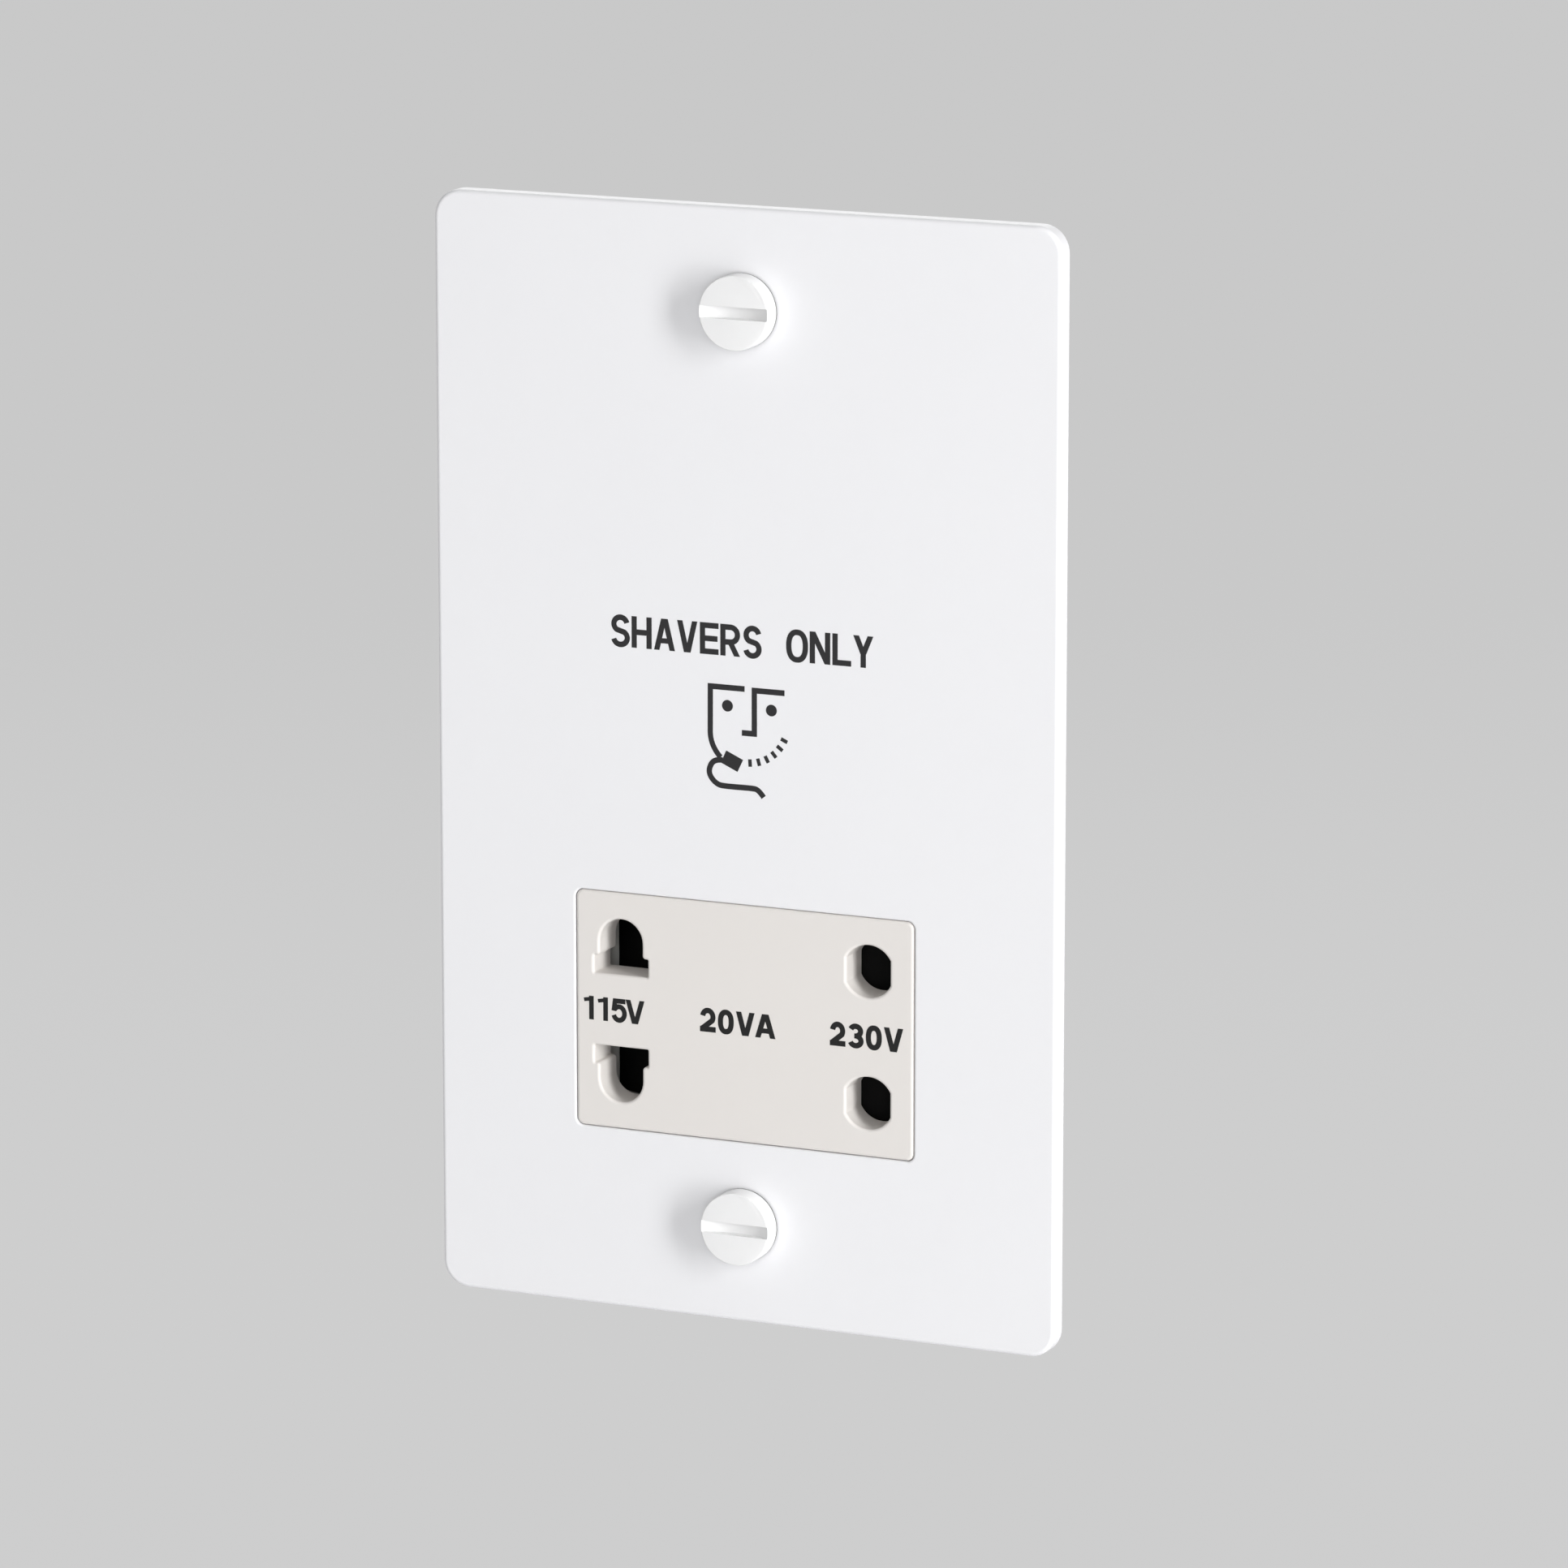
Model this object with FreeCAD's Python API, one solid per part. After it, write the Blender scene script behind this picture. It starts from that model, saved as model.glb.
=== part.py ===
import FreeCAD, Part
import math
import os

# Dual-voltage shaver supply unit: a flat metal front plate, a moulded socket behind it with one
# shuttered column of pin holes for each voltage, and an isolating transformer in a rear housing.
# Millimetres. X runs to the right seen from the front, Z up, and the front faces -Y.
# The origin is the middle of the plate's back, in the plane of the wall.

# Front plate
plate_width = 88.0
plate_height = 147.0
plate_thickness = 2.5
plate_corner_radius = 3.6
plate_edge_radius = 0.6
relief_depth = 0.5
relief_margin = 2.5
relief_end = 5.2
relief_corner_radius = 3.0

# Fixing screws and the washers that keep them in the plate
fixing_centres = 120.6
head_diameter = 9.7
head_height = 3.0
head_edge_radius = 0.2
head_base_radius = 0.15
head_slot_width = 1.6
head_slot_depth = 1.3
thread_diameter = 3.5
thread_length = 24.0
thread_tip = 0.6
neck_diameter = 2.9
fixing_clearance = 0.35
retainer_diameter = 8.0

# Socket face and its gap in the plate
face_width = 48.2
face_height = 31.7
face_corner_radius = 1.0
face_edge_radius = 0.45
window_edge_radius = 0.3
face_gap = 0.09
face_centre_z = -33.45

# Pin holes, measured from the middle of the face
column_margin = 6.45
blade_width = 7.75
blade_height = 2.4
blade_offset = 6.05
blade_corner_radius = 0.2
blade_shoulder_radius = 0.45
pin_slot_width = 6.15
pin_slot_reach = 12.3
round_hole_diameter = 7.0
round_hole_flats = 6.2
round_hole_offset = 8.75
hole_edge_radius = 0.4

# Moulded casing and rear cover
casing_wall = 1.8
casing_front = 3.0
casing_side_depth = 11.5
casing_corner_radius = 4.0
lug_clearance = 4.5
body_gap = 0.4
cover_flange = 2.0
flange_edge_radius = 0.8
cover_edge_radius = 1.5
lip_length = 2.0
lip_thickness = 1.0
lip_clearance = 0.15
step_room = 1.7
wiring_room = 7.2
vent_length = 17.0
vent_width = 1.8
vent_pitch = 4.5
vent_count = 7
vent_offset = 12.5

# Shutter and its centring spring
shutter_thickness = 4.0
shutter_overlap = 0.45
shutter_edge = 0.6
shutter_open_gap = 0.2
slide_clearance = 0.25
stop_gap = 0.5
rail_thickness = 1.2
spring_diameter = 4.0
spring_wire = 0.5
spring_length = 16.0
spring_turns = 7
spring_clearance = 0.3
spring_end_gap = 0.1

# Contact carrier and contacts
carrier_depth = 13.0
ear_thickness = 2.5
ear_width = 8.0
ear_margin = 0.2
ear_edge = 1.0
chamber_half_width = 4.2
chamber_half_height = 4.1
chamber_wall = 3.0
contact_offset = 8.8
contact_thickness = 0.6
contact_half_width = 6.8
leaf_width = 4.6
leaf_root = 2.9
leaf_pinch = 1.5
leaf_mouth = 2.6
leaf_root_depth = 1.0
leaf_pinch_depth = 5.0
leaf_mouth_depth = 2.0
stake_radius = 0.6
stake_offset = 5.5
stake_height = 0.5
stake_clearance = 0.1
tag_width = 3.0
tag_length = 3.4
common_tag_x = 7.0

# Transformer
core_width = 48.0
core_stack = 20.0
core_hole_radius = 1.6
core_lift = 1.0
coil_air = 0.6
coil_side_gap = 0.3
bobbin_gap = 0.2
bobbin_wall = 1.0
flange_thickness = 1.2
flange_lip = 0.2
winding_corner_radius = 4.0
winding_clearance = 0.1
pin_radius = 0.5
pin_length = 5.0
pin_inset = 3.5
primary_pin_offset = 8.0
secondary_pin_offset = 10.0
cutout_width = 14.0
cutout_depth = 9.0
cutout_height = 4.0
cutout_edge_radius = 0.8
cutout_tab = 3.5
cutout_tab_width = 2.4
cutout_tab_thickness = 0.6

# Studs, nuts and small screws
stud_diameter = 3.0
stud_length = 7.0
stud_clearance = 0.2
nut_flats = 5.5
nut_thickness = 2.4
nut_gap = 0.35
nut_corner_gap = 1.0
tapping_diameter = 2.9
tapping_head_diameter = 5.4
tapping_head_height = 2.0
tapping_cross_depth = 1.0
tapping_cross_width = 0.8
tapping_clearance = 0.1
tapping_bite = 4.0
boss_wall = 0.9
boss_embed = 0.3

# Mains terminals
terminal_pitch = 12.0
terminal_drop = 20.0
terminal_height = 14.0
terminal_depth = 12.0
terminal_side = 3.0
barrel_width = 6.4
barrel_depth = 8.0
barrel_inset = 1.0
barrel_seat = 1.5
barrel_clearance = 0.1
wire_radius = 2.1
wire_floor = 0.6
clamp_screw_diameter = 3.5
clamp_head_diameter = 4.8
clamp_head_height = 2.2
clamp_slot_width = 0.8
clamp_slot_depth = 0.9
clamp_access_gap = 0.3
clamp_tip_gap = 0.3
block_ear = 7.0
block_ear_thickness = 3.0
earth_inset = 14.0
earth_width = 9.0
earth_height = 7.0
earth_depth = 9.0

# Leads inside the housing
lead_diameter = 1.8
lead_hole_gap = 0.3
mains_lead_back = 1.8
mains_lead_clear = 3.75
mains_lead_turn = 7.0
contact_lead_back = 2.3
cutout_lead_side = 6.0

# Stations from front to back
V = FreeCAD.Vector
ALONG_X = V(1, 0, 0)
ALONG_Y = V(0, 1, 0)
ALONG_Z = V(0, 0, 1)
plate_front_y = -plate_thickness
relief_y = -relief_depth
floor_y = relief_y + casing_front
split_y = floor_y + casing_side_depth
shutter_front_y = floor_y + slide_clearance
shutter_back_y = shutter_front_y + shutter_thickness
carrier_front_y = shutter_back_y + slide_clearance
carrier_back_y = carrier_front_y + carrier_depth
contact_back_y = carrier_back_y + contact_thickness
lower_inner_y = carrier_back_y + wiring_room
lower_back_y = lower_inner_y + casing_wall
core_leg = core_width / 6
core_height = core_width * 5 / 6
coil_overhang = core_leg - coil_side_gap
winding_depth = coil_overhang - bobbin_gap - bobbin_wall - flange_lip
core_front_y = floor_y + coil_air + coil_overhang
core_back_y = core_front_y + core_stack
core_middle_y = (core_front_y + core_back_y) / 2
upper_inner_y = core_back_y + coil_overhang + coil_air
upper_back_y = upper_inner_y + casing_wall
barrel_y = lower_back_y + barrel_seat
terminal_back_y = lower_back_y + terminal_depth
wire_y = barrel_y + wire_floor + wire_radius

# Half widths from the centreline
fixing_z = fixing_centres / 2
column_offset = face_width / 2 - column_margin
hole_reach = max(pin_slot_reach, round_hole_offset + round_hole_diameter / 2)
shutter_half_length = column_offset + blade_width / 2 + shutter_overlap
shutter_half_height = hole_reach + shutter_overlap
shutter_travel = blade_width + shutter_overlap + shutter_open_gap
ramp_length = blade_width + 2 * shutter_overlap
bay_half_width = max(shutter_half_length + shutter_travel, core_width / 2 + mains_lead_turn) + stop_gap
bay_corner_radius = casing_corner_radius - casing_wall
casing_half_width = bay_half_width + casing_wall
casing_half_height = fixing_z - lug_clearance
bay_half_height = casing_half_height - casing_wall
relief_half_width = casing_half_width + relief_margin
relief_half_height = fixing_z + relief_end
rail_inner = shutter_half_height + slide_clearance
rail_outer = rail_inner + rail_thickness
carrier_half_width = column_offset + chamber_half_width + chamber_wall
body_inner_width = max(core_width / 2, carrier_half_width) + body_gap
body_half_width = body_inner_width + casing_wall
boss_radius = tapping_diameter / 2 + tapping_clearance + boss_wall
ear_offset = rail_outer + tapping_head_diameter / 2 + ear_margin
ear_reach = ear_offset + tapping_diameter / 2 + ear_edge
stud_x = bay_half_width - nut_flats / math.sqrt(3) - nut_corner_gap
stud_z = bay_half_height - nut_flats / 2 - nut_gap
cover_screw_x = (stud_x + ear_width / 2) / 2
lip_inset = lip_clearance + lip_thickness
body_half_height = casing_half_height - lip_inset
body_inner_height = bay_half_height - lip_inset
cover_screw_z = body_inner_height - boss_radius + boss_embed

# Heights of what lies behind the plate
step_z = face_centre_z + ear_reach + step_room
core_ceiling_z = cover_screw_z - boss_radius
core_middle_z = (step_z + core_ceiling_z) / 2 + core_lift
core_bottom_z = core_middle_z - core_height / 2
core_top_z = core_middle_z + core_height / 2
window_half_height = core_height / 2 - core_leg
core_hole_x = core_width / 2 - core_leg / 2
core_hole_z = core_height / 2 - core_leg / 2
bobbin_half_length = window_half_height - bobbin_gap
cutout_z = core_top_z + cutout_height / 2
neutral_lead_z = (core_top_z + cutout_height + core_ceiling_z) / 2
terminal_top_z = step_z - terminal_drop
terminal_bottom_z = terminal_top_z - terminal_height
terminal_middle_z = (terminal_top_z + terminal_bottom_z) / 2
terminal_x = terminal_pitch / 2
terminal_half_width = terminal_x + barrel_width / 2 + terminal_side
earth_x = relief_half_width - earth_inset
block_screw_x = terminal_half_width + block_ear / 2


def box(x0, x1, y0, y1, z0, z1):
    """Block between two corners."""
    return Part.makeBox(x1 - x0, y1 - y0, z1 - z0, V(x0, y0, z0))


def rod(radius, x, y0, y1, z):
    """Round bar along Y."""
    return Part.makeCylinder(radius, y1 - y0, V(x, y0, z), ALONG_Y)


def edges_along(shape, direction):
    """Straight edges that run along a direction."""
    straight = [e for e in shape.Edges if isinstance(e.Curve, Part.Line)]
    return [e for e in straight if abs(e.Curve.Direction.dot(direction)) > 0.999]


def edges_at(shape, y):
    """Edges that lie in the plane at a depth y."""
    near = 1e-4
    return [e for e in shape.Edges if abs(e.BoundBox.YMin - y) < near and abs(e.BoundBox.YMax - y) < near]


def slab(half_width, z0, z1, y0, y1, corner):
    """Block about the centreline with its four corners rounded, seen from the front."""
    block = box(-half_width, half_width, y0, y1, z0, z1)
    return block.makeFillet(corner, edges_along(block, ALONG_Y))


def fuse(shapes):
    """One clean solid from pieces that touch or overlap."""
    return shapes[0].multiFuse(shapes[1:]).removeSplitter()


def corners(x, z):
    """The four places at plus and minus x and z."""
    return [(sx * x, sz * z) for sx in (-1, 1) for sz in (-1, 1)]


def cross_recess(x, back_y, z, half_length):
    """Cross-shaped driver recess in a screw head that faces the back."""
    half = tapping_cross_width / 2
    y0 = back_y - tapping_cross_depth
    across = box(x - half_length, x + half_length, y0, back_y, z - half, z + half)
    upright = box(x - half, x + half, y0, back_y, z - half_length, z + half_length)
    return across.fuse(upright)


def tapping_screw(x, seat_y, tip_y, z):
    """Pan-head self-tapping screw driven from the back, with its head on seat_y."""
    head_back_y = seat_y + tapping_head_height
    head = rod(tapping_head_diameter / 2, x, seat_y, head_back_y, z)
    head = head.makeFillet(tapping_head_height / 2, edges_at(head, head_back_y))
    shank = rod(tapping_diameter / 2, x, tip_y, seat_y, z)
    shank = shank.makeChamfer(tapping_diameter / 4, edges_at(shank, tip_y))
    return fuse([head, shank]).cut(cross_recess(x, head_back_y, z, tapping_head_diameter / 4))


def pilot(x, y0, y1, z):
    """Hole for a tapping screw's shank."""
    return rod(tapping_diameter / 2 + tapping_clearance / 2, x, y0, y1, z)


def blade_aperture(side):
    """Hole for a flat blade or a round pin: a round-ended slot crossed by a bar at its inner end."""
    y0 = plate_front_y - 1
    y1 = floor_y + 1
    x = -column_offset
    bar_inner = blade_offset - blade_height / 2
    bar_outer = blade_offset + blade_height / 2
    arc_centre = pin_slot_reach - pin_slot_width / 2
    bar = box(x - blade_width / 2, x + blade_width / 2, y0, y1, bar_inner, bar_outer)
    bar = bar.makeFillet(blade_corner_radius, edges_along(bar, ALONG_Y))
    slot = box(x - pin_slot_width / 2, x + pin_slot_width / 2, y0, y1, blade_offset, arc_centre)
    end = rod(pin_slot_width / 2, x, y0, y1, arc_centre)
    hole = fuse([bar, slot, end])
    shoulders = [e for e in edges_along(hole, ALONG_Y) if abs(e.CenterOfMass.z - bar_outer) < 1e-4]
    hole = hole.makeFillet(blade_shoulder_radius, shoulders)
    if side < 0:
        hole = hole.mirror(V(0, 0, 0), ALONG_Z)
    return hole.translated(V(0, 0, face_centre_z))


def round_aperture(side):
    """Round pin hole with two flat sides."""
    y0 = plate_front_y - 1
    y1 = floor_y + 1
    z = face_centre_z + side * round_hole_offset
    radius = round_hole_diameter / 2
    half = round_hole_flats / 2
    between_flats = box(column_offset - half, column_offset + half, y0, y1, z - radius, z + radius)
    return rod(radius, column_offset, y0, y1, z).common(between_flats)


def front_plate():
    plate = slab(plate_width / 2, -plate_height / 2, plate_height / 2, plate_front_y, 0, plate_corner_radius)
    plate = plate.makeFillet(plate_edge_radius, edges_at(plate, plate_front_y))
    relief = slab(relief_half_width, -relief_half_height, relief_half_height, relief_y, 1,
                  relief_corner_radius)
    half_width = face_width / 2 + face_gap
    half_height = face_height / 2 + face_gap
    window = slab(half_width, face_centre_z - half_height, face_centre_z + half_height,
                  plate_front_y - 1, 1, face_corner_radius + face_gap)
    plate = plate.cut(relief).cut(window)
    rim = [e for e in edges_at(plate, plate_front_y) if abs(e.CenterOfMass.x) < half_width + face_gap
           and abs(e.CenterOfMass.z - face_centre_z) < half_height + face_gap]
    plate = plate.makeFillet(window_edge_radius, rim)
    holes = [rod(thread_diameter / 2 + fixing_clearance, 0, plate_front_y - 1, 1, side * fixing_z)
             for side in (-1, 1)]
    return plate.cut(holes)


def fixing_screw(z):
    """Cheese-head screw: a slot milled by a round cutter, a plain neck and a thread for the wall box."""
    front = plate_front_y - head_height
    tip = thread_length
    head = rod(head_diameter / 2, 0, front, plate_front_y, z)
    head = head.makeFillet(head_edge_radius, edges_at(head, front))
    head = head.makeFillet(head_base_radius, edges_at(head, plate_front_y))
    neck = rod(neck_diameter / 2, 0, plate_front_y, 0, z)
    thread = rod(thread_diameter / 2, 0, 0, tip, z)
    thread = thread.makeChamfer(thread_tip, edges_at(thread, tip))
    cutter_radius = ((head_diameter / 2) ** 2 + head_slot_depth ** 2) / (2 * head_slot_depth)
    cutter_middle = V(0, front + head_slot_depth - cutter_radius, z - head_slot_width / 2)
    slot = Part.makeCylinder(cutter_radius, head_slot_width, cutter_middle, ALONG_Z)
    return fuse([head, neck, thread]).cut(slot)


def screw_retainer(z):
    washer = rod(retainer_diameter / 2, 0, relief_y, 0, z)
    return washer.cut(rod(neck_diameter / 2 + stake_clearance, 0, relief_y - 1, 1, z))


def plate_stud(x, z):
    stud = rod(stud_diameter / 2, x, relief_y, relief_y + stud_length, z)
    return stud.makeChamfer(stud_diameter / 8, edges_at(stud, relief_y + stud_length))


def stud_nut(x, z):
    radius = nut_flats / math.sqrt(3)
    points = [V(x + radius * math.cos(k * math.pi / 3), floor_y, z + radius * math.sin(k * math.pi / 3))
              for k in range(7)]
    nut = Part.Face(Part.makePolygon(points)).extrude(V(0, nut_thickness, 0))
    bore = rod(stud_diameter / 2 + stake_clearance / 2, x, floor_y - 1, floor_y + nut_thickness + 1, z)
    return nut.cut(bore)


def front_casing():
    """Tray with the socket face on its front, the shutter's rails and the bosses on its floor."""
    tray = slab(casing_half_width, -casing_half_height, casing_half_height, relief_y, split_y,
                casing_corner_radius)
    hollow = slab(bay_half_width, -bay_half_height, bay_half_height, floor_y, split_y + 1, bay_corner_radius)
    face = slab(face_width / 2, face_centre_z - face_height / 2, face_centre_z + face_height / 2,
                plate_front_y, floor_y, face_corner_radius)
    face = face.makeFillet(face_edge_radius, edges_at(face, plate_front_y))
    pieces = [tray.cut(hollow), face]
    for side in (-1, 1):
        rail_z = sorted([face_centre_z + side * rail_inner, face_centre_z + side * rail_outer])
        pieces.append(box(-carrier_half_width, carrier_half_width, floor_y, carrier_front_y,
                          rail_z[0], rail_z[1]))
        pieces.append(rod(boss_radius, 0, floor_y, carrier_front_y, face_centre_z + side * ear_offset))
    pieces += [rod(boss_radius, x, floor_y, split_y, z) for x, z in corners(cover_screw_x, cover_screw_z)]
    core_bosses = [(x, core_middle_z + z) for x, z in corners(core_hole_x, core_hole_z)]
    pieces += [rod(boss_radius, x, floor_y, core_front_y, z) for x, z in core_bosses]
    casing = fuse(pieces)
    apertures = [f(side) for f in (blade_aperture, round_aperture) for side in (-1, 1)]
    casing = casing.cut(apertures)
    rims = [e for e in edges_at(casing, plate_front_y) if abs(e.CenterOfMass.x) > column_offset - blade_width
            and abs(e.CenterOfMass.x) < column_offset + blade_width / 2 + hole_edge_radius
            and abs(e.CenterOfMass.z - face_centre_z) < hole_reach + hole_edge_radius]
    casing = casing.makeFillet(hole_edge_radius, rims)
    holes = [rod(stud_diameter / 2 + stud_clearance, x, relief_y - 1, floor_y + 1, z)
             for x, z in corners(stud_x, stud_z)]
    holes += [pilot(0, carrier_front_y - tapping_bite, carrier_front_y + 1, face_centre_z + side * ear_offset)
              for side in (-1, 1)]
    holes += [pilot(x, floor_y, split_y + 1, z) for x, z in corners(cover_screw_x, cover_screw_z)]
    holes += [pilot(x, floor_y, core_front_y + 1, z) for x, z in core_bosses]
    return casing.cut(holes)


def spring_groove():
    """Round channel shared by the shutter's back and the carrier's front."""
    length = spring_length + 2 * spring_end_gap
    start = V(-length / 2, (shutter_back_y + carrier_front_y) / 2, face_centre_z)
    return Part.makeCylinder(spring_diameter / 2 + spring_clearance, length, start, ALONG_X)


def shutter():
    """Slide that closes all four holes at rest; a pin on either ramp drives it off that column."""
    ramp_start = shutter_half_length - ramp_length
    edge_y = shutter_back_y - shutter_edge
    z = face_centre_z - shutter_half_height
    half = [(shutter_half_length, shutter_back_y), (shutter_half_length, edge_y),
            (ramp_start, shutter_front_y)]
    outline = [V(x, y, z) for x, y in half] + [V(-x, y, z) for x, y in reversed(half)]
    body = Part.Face(Part.makePolygon(outline + outline[:1])).extrude(V(0, 0, 2 * shutter_half_height))
    return body.cut(spring_groove())


def shutter_spring():
    """Centring spring: pushed from either end by the shutter, it stops on the carrier at the other."""
    radius = (spring_diameter - spring_wire) / 2
    rise = spring_length - spring_wire
    helix = Part.makeHelix(rise / spring_turns, rise, radius)
    section = Part.Wire(Part.makeCircle(spring_wire / 2, V(radius, 0, 0), ALONG_Y))
    coil = Part.Wire(helix).makePipeShell([section], True, True)
    coil.rotate(V(0, 0, 0), ALONG_Y, 90)
    coil.translate(V(-rise / 2, (shutter_back_y + carrier_front_y) / 2, face_centre_z))
    return coil


def contact_places():
    """Middle of each contact: both columns, upper and lower."""
    return [(x, face_centre_z + z) for x, z in corners(column_offset, contact_offset)]


def contact_carrier():
    block = box(-carrier_half_width, carrier_half_width, carrier_front_y, carrier_back_y,
                face_centre_z - rail_outer, face_centre_z + rail_outer)
    ears = box(-ear_width / 2, ear_width / 2, carrier_front_y, carrier_front_y + ear_thickness,
               face_centre_z - ear_reach, face_centre_z + ear_reach)
    stakes = [rod(stake_radius, x + s * stake_offset, carrier_back_y, contact_back_y + stake_height, z)
              for x, z in contact_places() for s in (-1, 1)]
    cuts = [box(x - chamber_half_width, x + chamber_half_width, carrier_front_y - 1, carrier_back_y + 1,
                z - chamber_half_height, z + chamber_half_height) for x, z in contact_places()]
    cuts += [rod(tapping_diameter / 2 + tapping_clearance, 0, carrier_front_y - 1, carrier_back_y,
                 face_centre_z + side * ear_offset) for side in (-1, 1)]
    return fuse([block, ears] + stakes).cut(cuts + [spring_groove()])


def ribbon(points, thickness, x0, x1):
    """Bent strip along points (y, z), of even thickness, between two places along X."""
    left = []
    right = []
    last = len(points) - 1
    for k, (y, z) in enumerate(points):
        y0, z0 = points[max(k - 1, 0)]
        y1, z1 = points[min(k + 1, last)]
        run = V(0, y1 - y0, z1 - z0).normalize()
        left.append(V(x0, y - run.z * thickness / 2, z + run.y * thickness / 2))
        right.append(V(x0, y + run.z * thickness / 2, z - run.y * thickness / 2))
    outline = left + right[::-1]
    return Part.Face(Part.makePolygon(outline + outline[:1])).extrude(V(x1 - x0, 0, 0))


def contact_jaw(x, z):
    """Two sprung leaves that reach forward into a chamber and grip the pin between them."""
    leaves = []
    for side in (-1, 1):
        path = [(contact_back_y, leaf_root), (carrier_back_y - leaf_root_depth, leaf_root),
                (carrier_front_y + leaf_pinch_depth, leaf_pinch),
                (carrier_front_y + leaf_mouth_depth, leaf_mouth)]
        points = [(y, z + side * offset) for y, offset in path]
        leaves.append(ribbon(points, contact_thickness, x - leaf_width / 2, x + leaf_width / 2))
    return leaves


def contact_base(x0, x1, z):
    """Flat strip on the carrier's back that carries the leaves."""
    half = leaf_root + contact_thickness / 2
    return box(x0 - contact_half_width, x1 + contact_half_width, carrier_back_y, contact_back_y,
               z - half, z + half)


def stake_holes():
    return [rod(stake_radius + stake_clearance, x + side * stake_offset, carrier_back_y - 1,
                contact_back_y + 1, z) for x, z in contact_places() for side in (-1, 1)]


def single_contact(side):
    """Contact of one voltage, in the upper chamber, with a solder tag on top."""
    x = side * column_offset
    z = face_centre_z + contact_offset
    top = z + leaf_root + contact_thickness / 2
    tag = box(x - tag_width / 2, x + tag_width / 2, carrier_back_y, contact_back_y, top, top + tag_length)
    return fuse([contact_base(x, x, z), tag] + contact_jaw(x, z)).cut(stake_holes())


def common_contact():
    """Contact shared by both voltages, across the two lower chambers."""
    z = face_centre_z - contact_offset
    jaws = contact_jaw(-column_offset, z) + contact_jaw(column_offset, z)
    return fuse([contact_base(-column_offset, column_offset, z)] + jaws).cut(stake_holes())


def transformer_core():
    core = box(-core_width / 2, core_width / 2, core_front_y, core_back_y, core_bottom_z, core_top_z)
    window_outer = core_width / 2 - core_leg
    cuts = [box(min(s * core_leg, s * window_outer), max(s * core_leg, s * window_outer), core_front_y - 1,
                core_back_y + 1, core_middle_z - window_half_height, core_middle_z + window_half_height)
            for s in (-1, 1)]
    cuts += [rod(core_hole_radius, x, core_front_y - 1, core_back_y + 1, core_middle_z + z)
             for x, z in corners(core_hole_x, core_hole_z)]
    return core.cut(cuts)


def around_leg(grow, z0, z1):
    """Block round the middle leg of the core, larger than the leg by an amount on each side."""
    return box(-core_leg - grow, core_leg + grow, core_front_y - grow, core_back_y + grow, z0, z1)


def bobbin():
    low = core_middle_z - bobbin_half_length
    high = core_middle_z + bobbin_half_length
    tube = around_leg(bobbin_gap + bobbin_wall, low, high)
    flange_starts = [low, core_middle_z - flange_thickness / 2, high - flange_thickness]
    flanges = [around_leg(coil_overhang, z, z + flange_thickness) for z in flange_starts]
    return fuse([tube] + flanges).cut(around_leg(bobbin_gap, low - 1, high + 1))


def winding(side):
    """Coil between two flanges of the bobbin."""
    inner = core_middle_z + side * (flange_thickness / 2 + winding_clearance)
    outer = core_middle_z + side * (bobbin_half_length - flange_thickness - winding_clearance)
    z0 = min(inner, outer)
    z1 = max(inner, outer)
    tube = bobbin_gap + bobbin_wall
    coil = around_leg(tube + winding_depth, z0, z1)
    coil = coil.makeFillet(winding_corner_radius, edges_along(coil, ALONG_Z))
    return coil.cut(around_leg(tube + winding_clearance, z0 - 1, z1 + 1))


def pin_y():
    return core_back_y + coil_overhang - pin_inset


def bobbin_pin(x, side):
    """Wire pin on the outside of an end flange, behind the core."""
    start = V(x, pin_y(), core_middle_z + side * bobbin_half_length)
    return Part.makeCylinder(pin_radius, pin_length, start, ALONG_Z * side)


def pin_end_z(side):
    return core_middle_z + side * (bobbin_half_length + pin_length)


def thermal_cutout():
    """Flat capsule on top of the core with a tab at each end."""
    half = cutout_width / 2
    y0 = core_middle_y - cutout_depth / 2
    y1 = core_middle_y + cutout_depth / 2
    body = box(-half, half, y0, y1, core_top_z, core_top_z + cutout_height)
    body = body.makeFillet(cutout_edge_radius, edges_along(body, ALONG_Z))
    tabs = box(-half - cutout_tab, half + cutout_tab, core_middle_y - cutout_tab_width / 2,
               core_middle_y + cutout_tab_width / 2, cutout_z - cutout_tab_thickness / 2,
               cutout_z + cutout_tab_thickness / 2)
    return fuse([body, tabs])


def cover_shell(half_width, z_low, z_step, z_high, y0, y_low, y_high, corner, back_edge):
    """Housing shape: a shallow part behind the socket and a deep one behind the transformer."""
    shallow = slab(half_width, z_low, z_high, y0, y_low, corner)
    deep = slab(half_width, z_step, z_high, y0, y_high, corner)
    if back_edge:
        shallow = shallow.makeFillet(back_edge, edges_at(shallow, y_low))
        deep = deep.makeFillet(back_edge, edges_at(deep, y_high))
    return shallow.fuse(deep)


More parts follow.
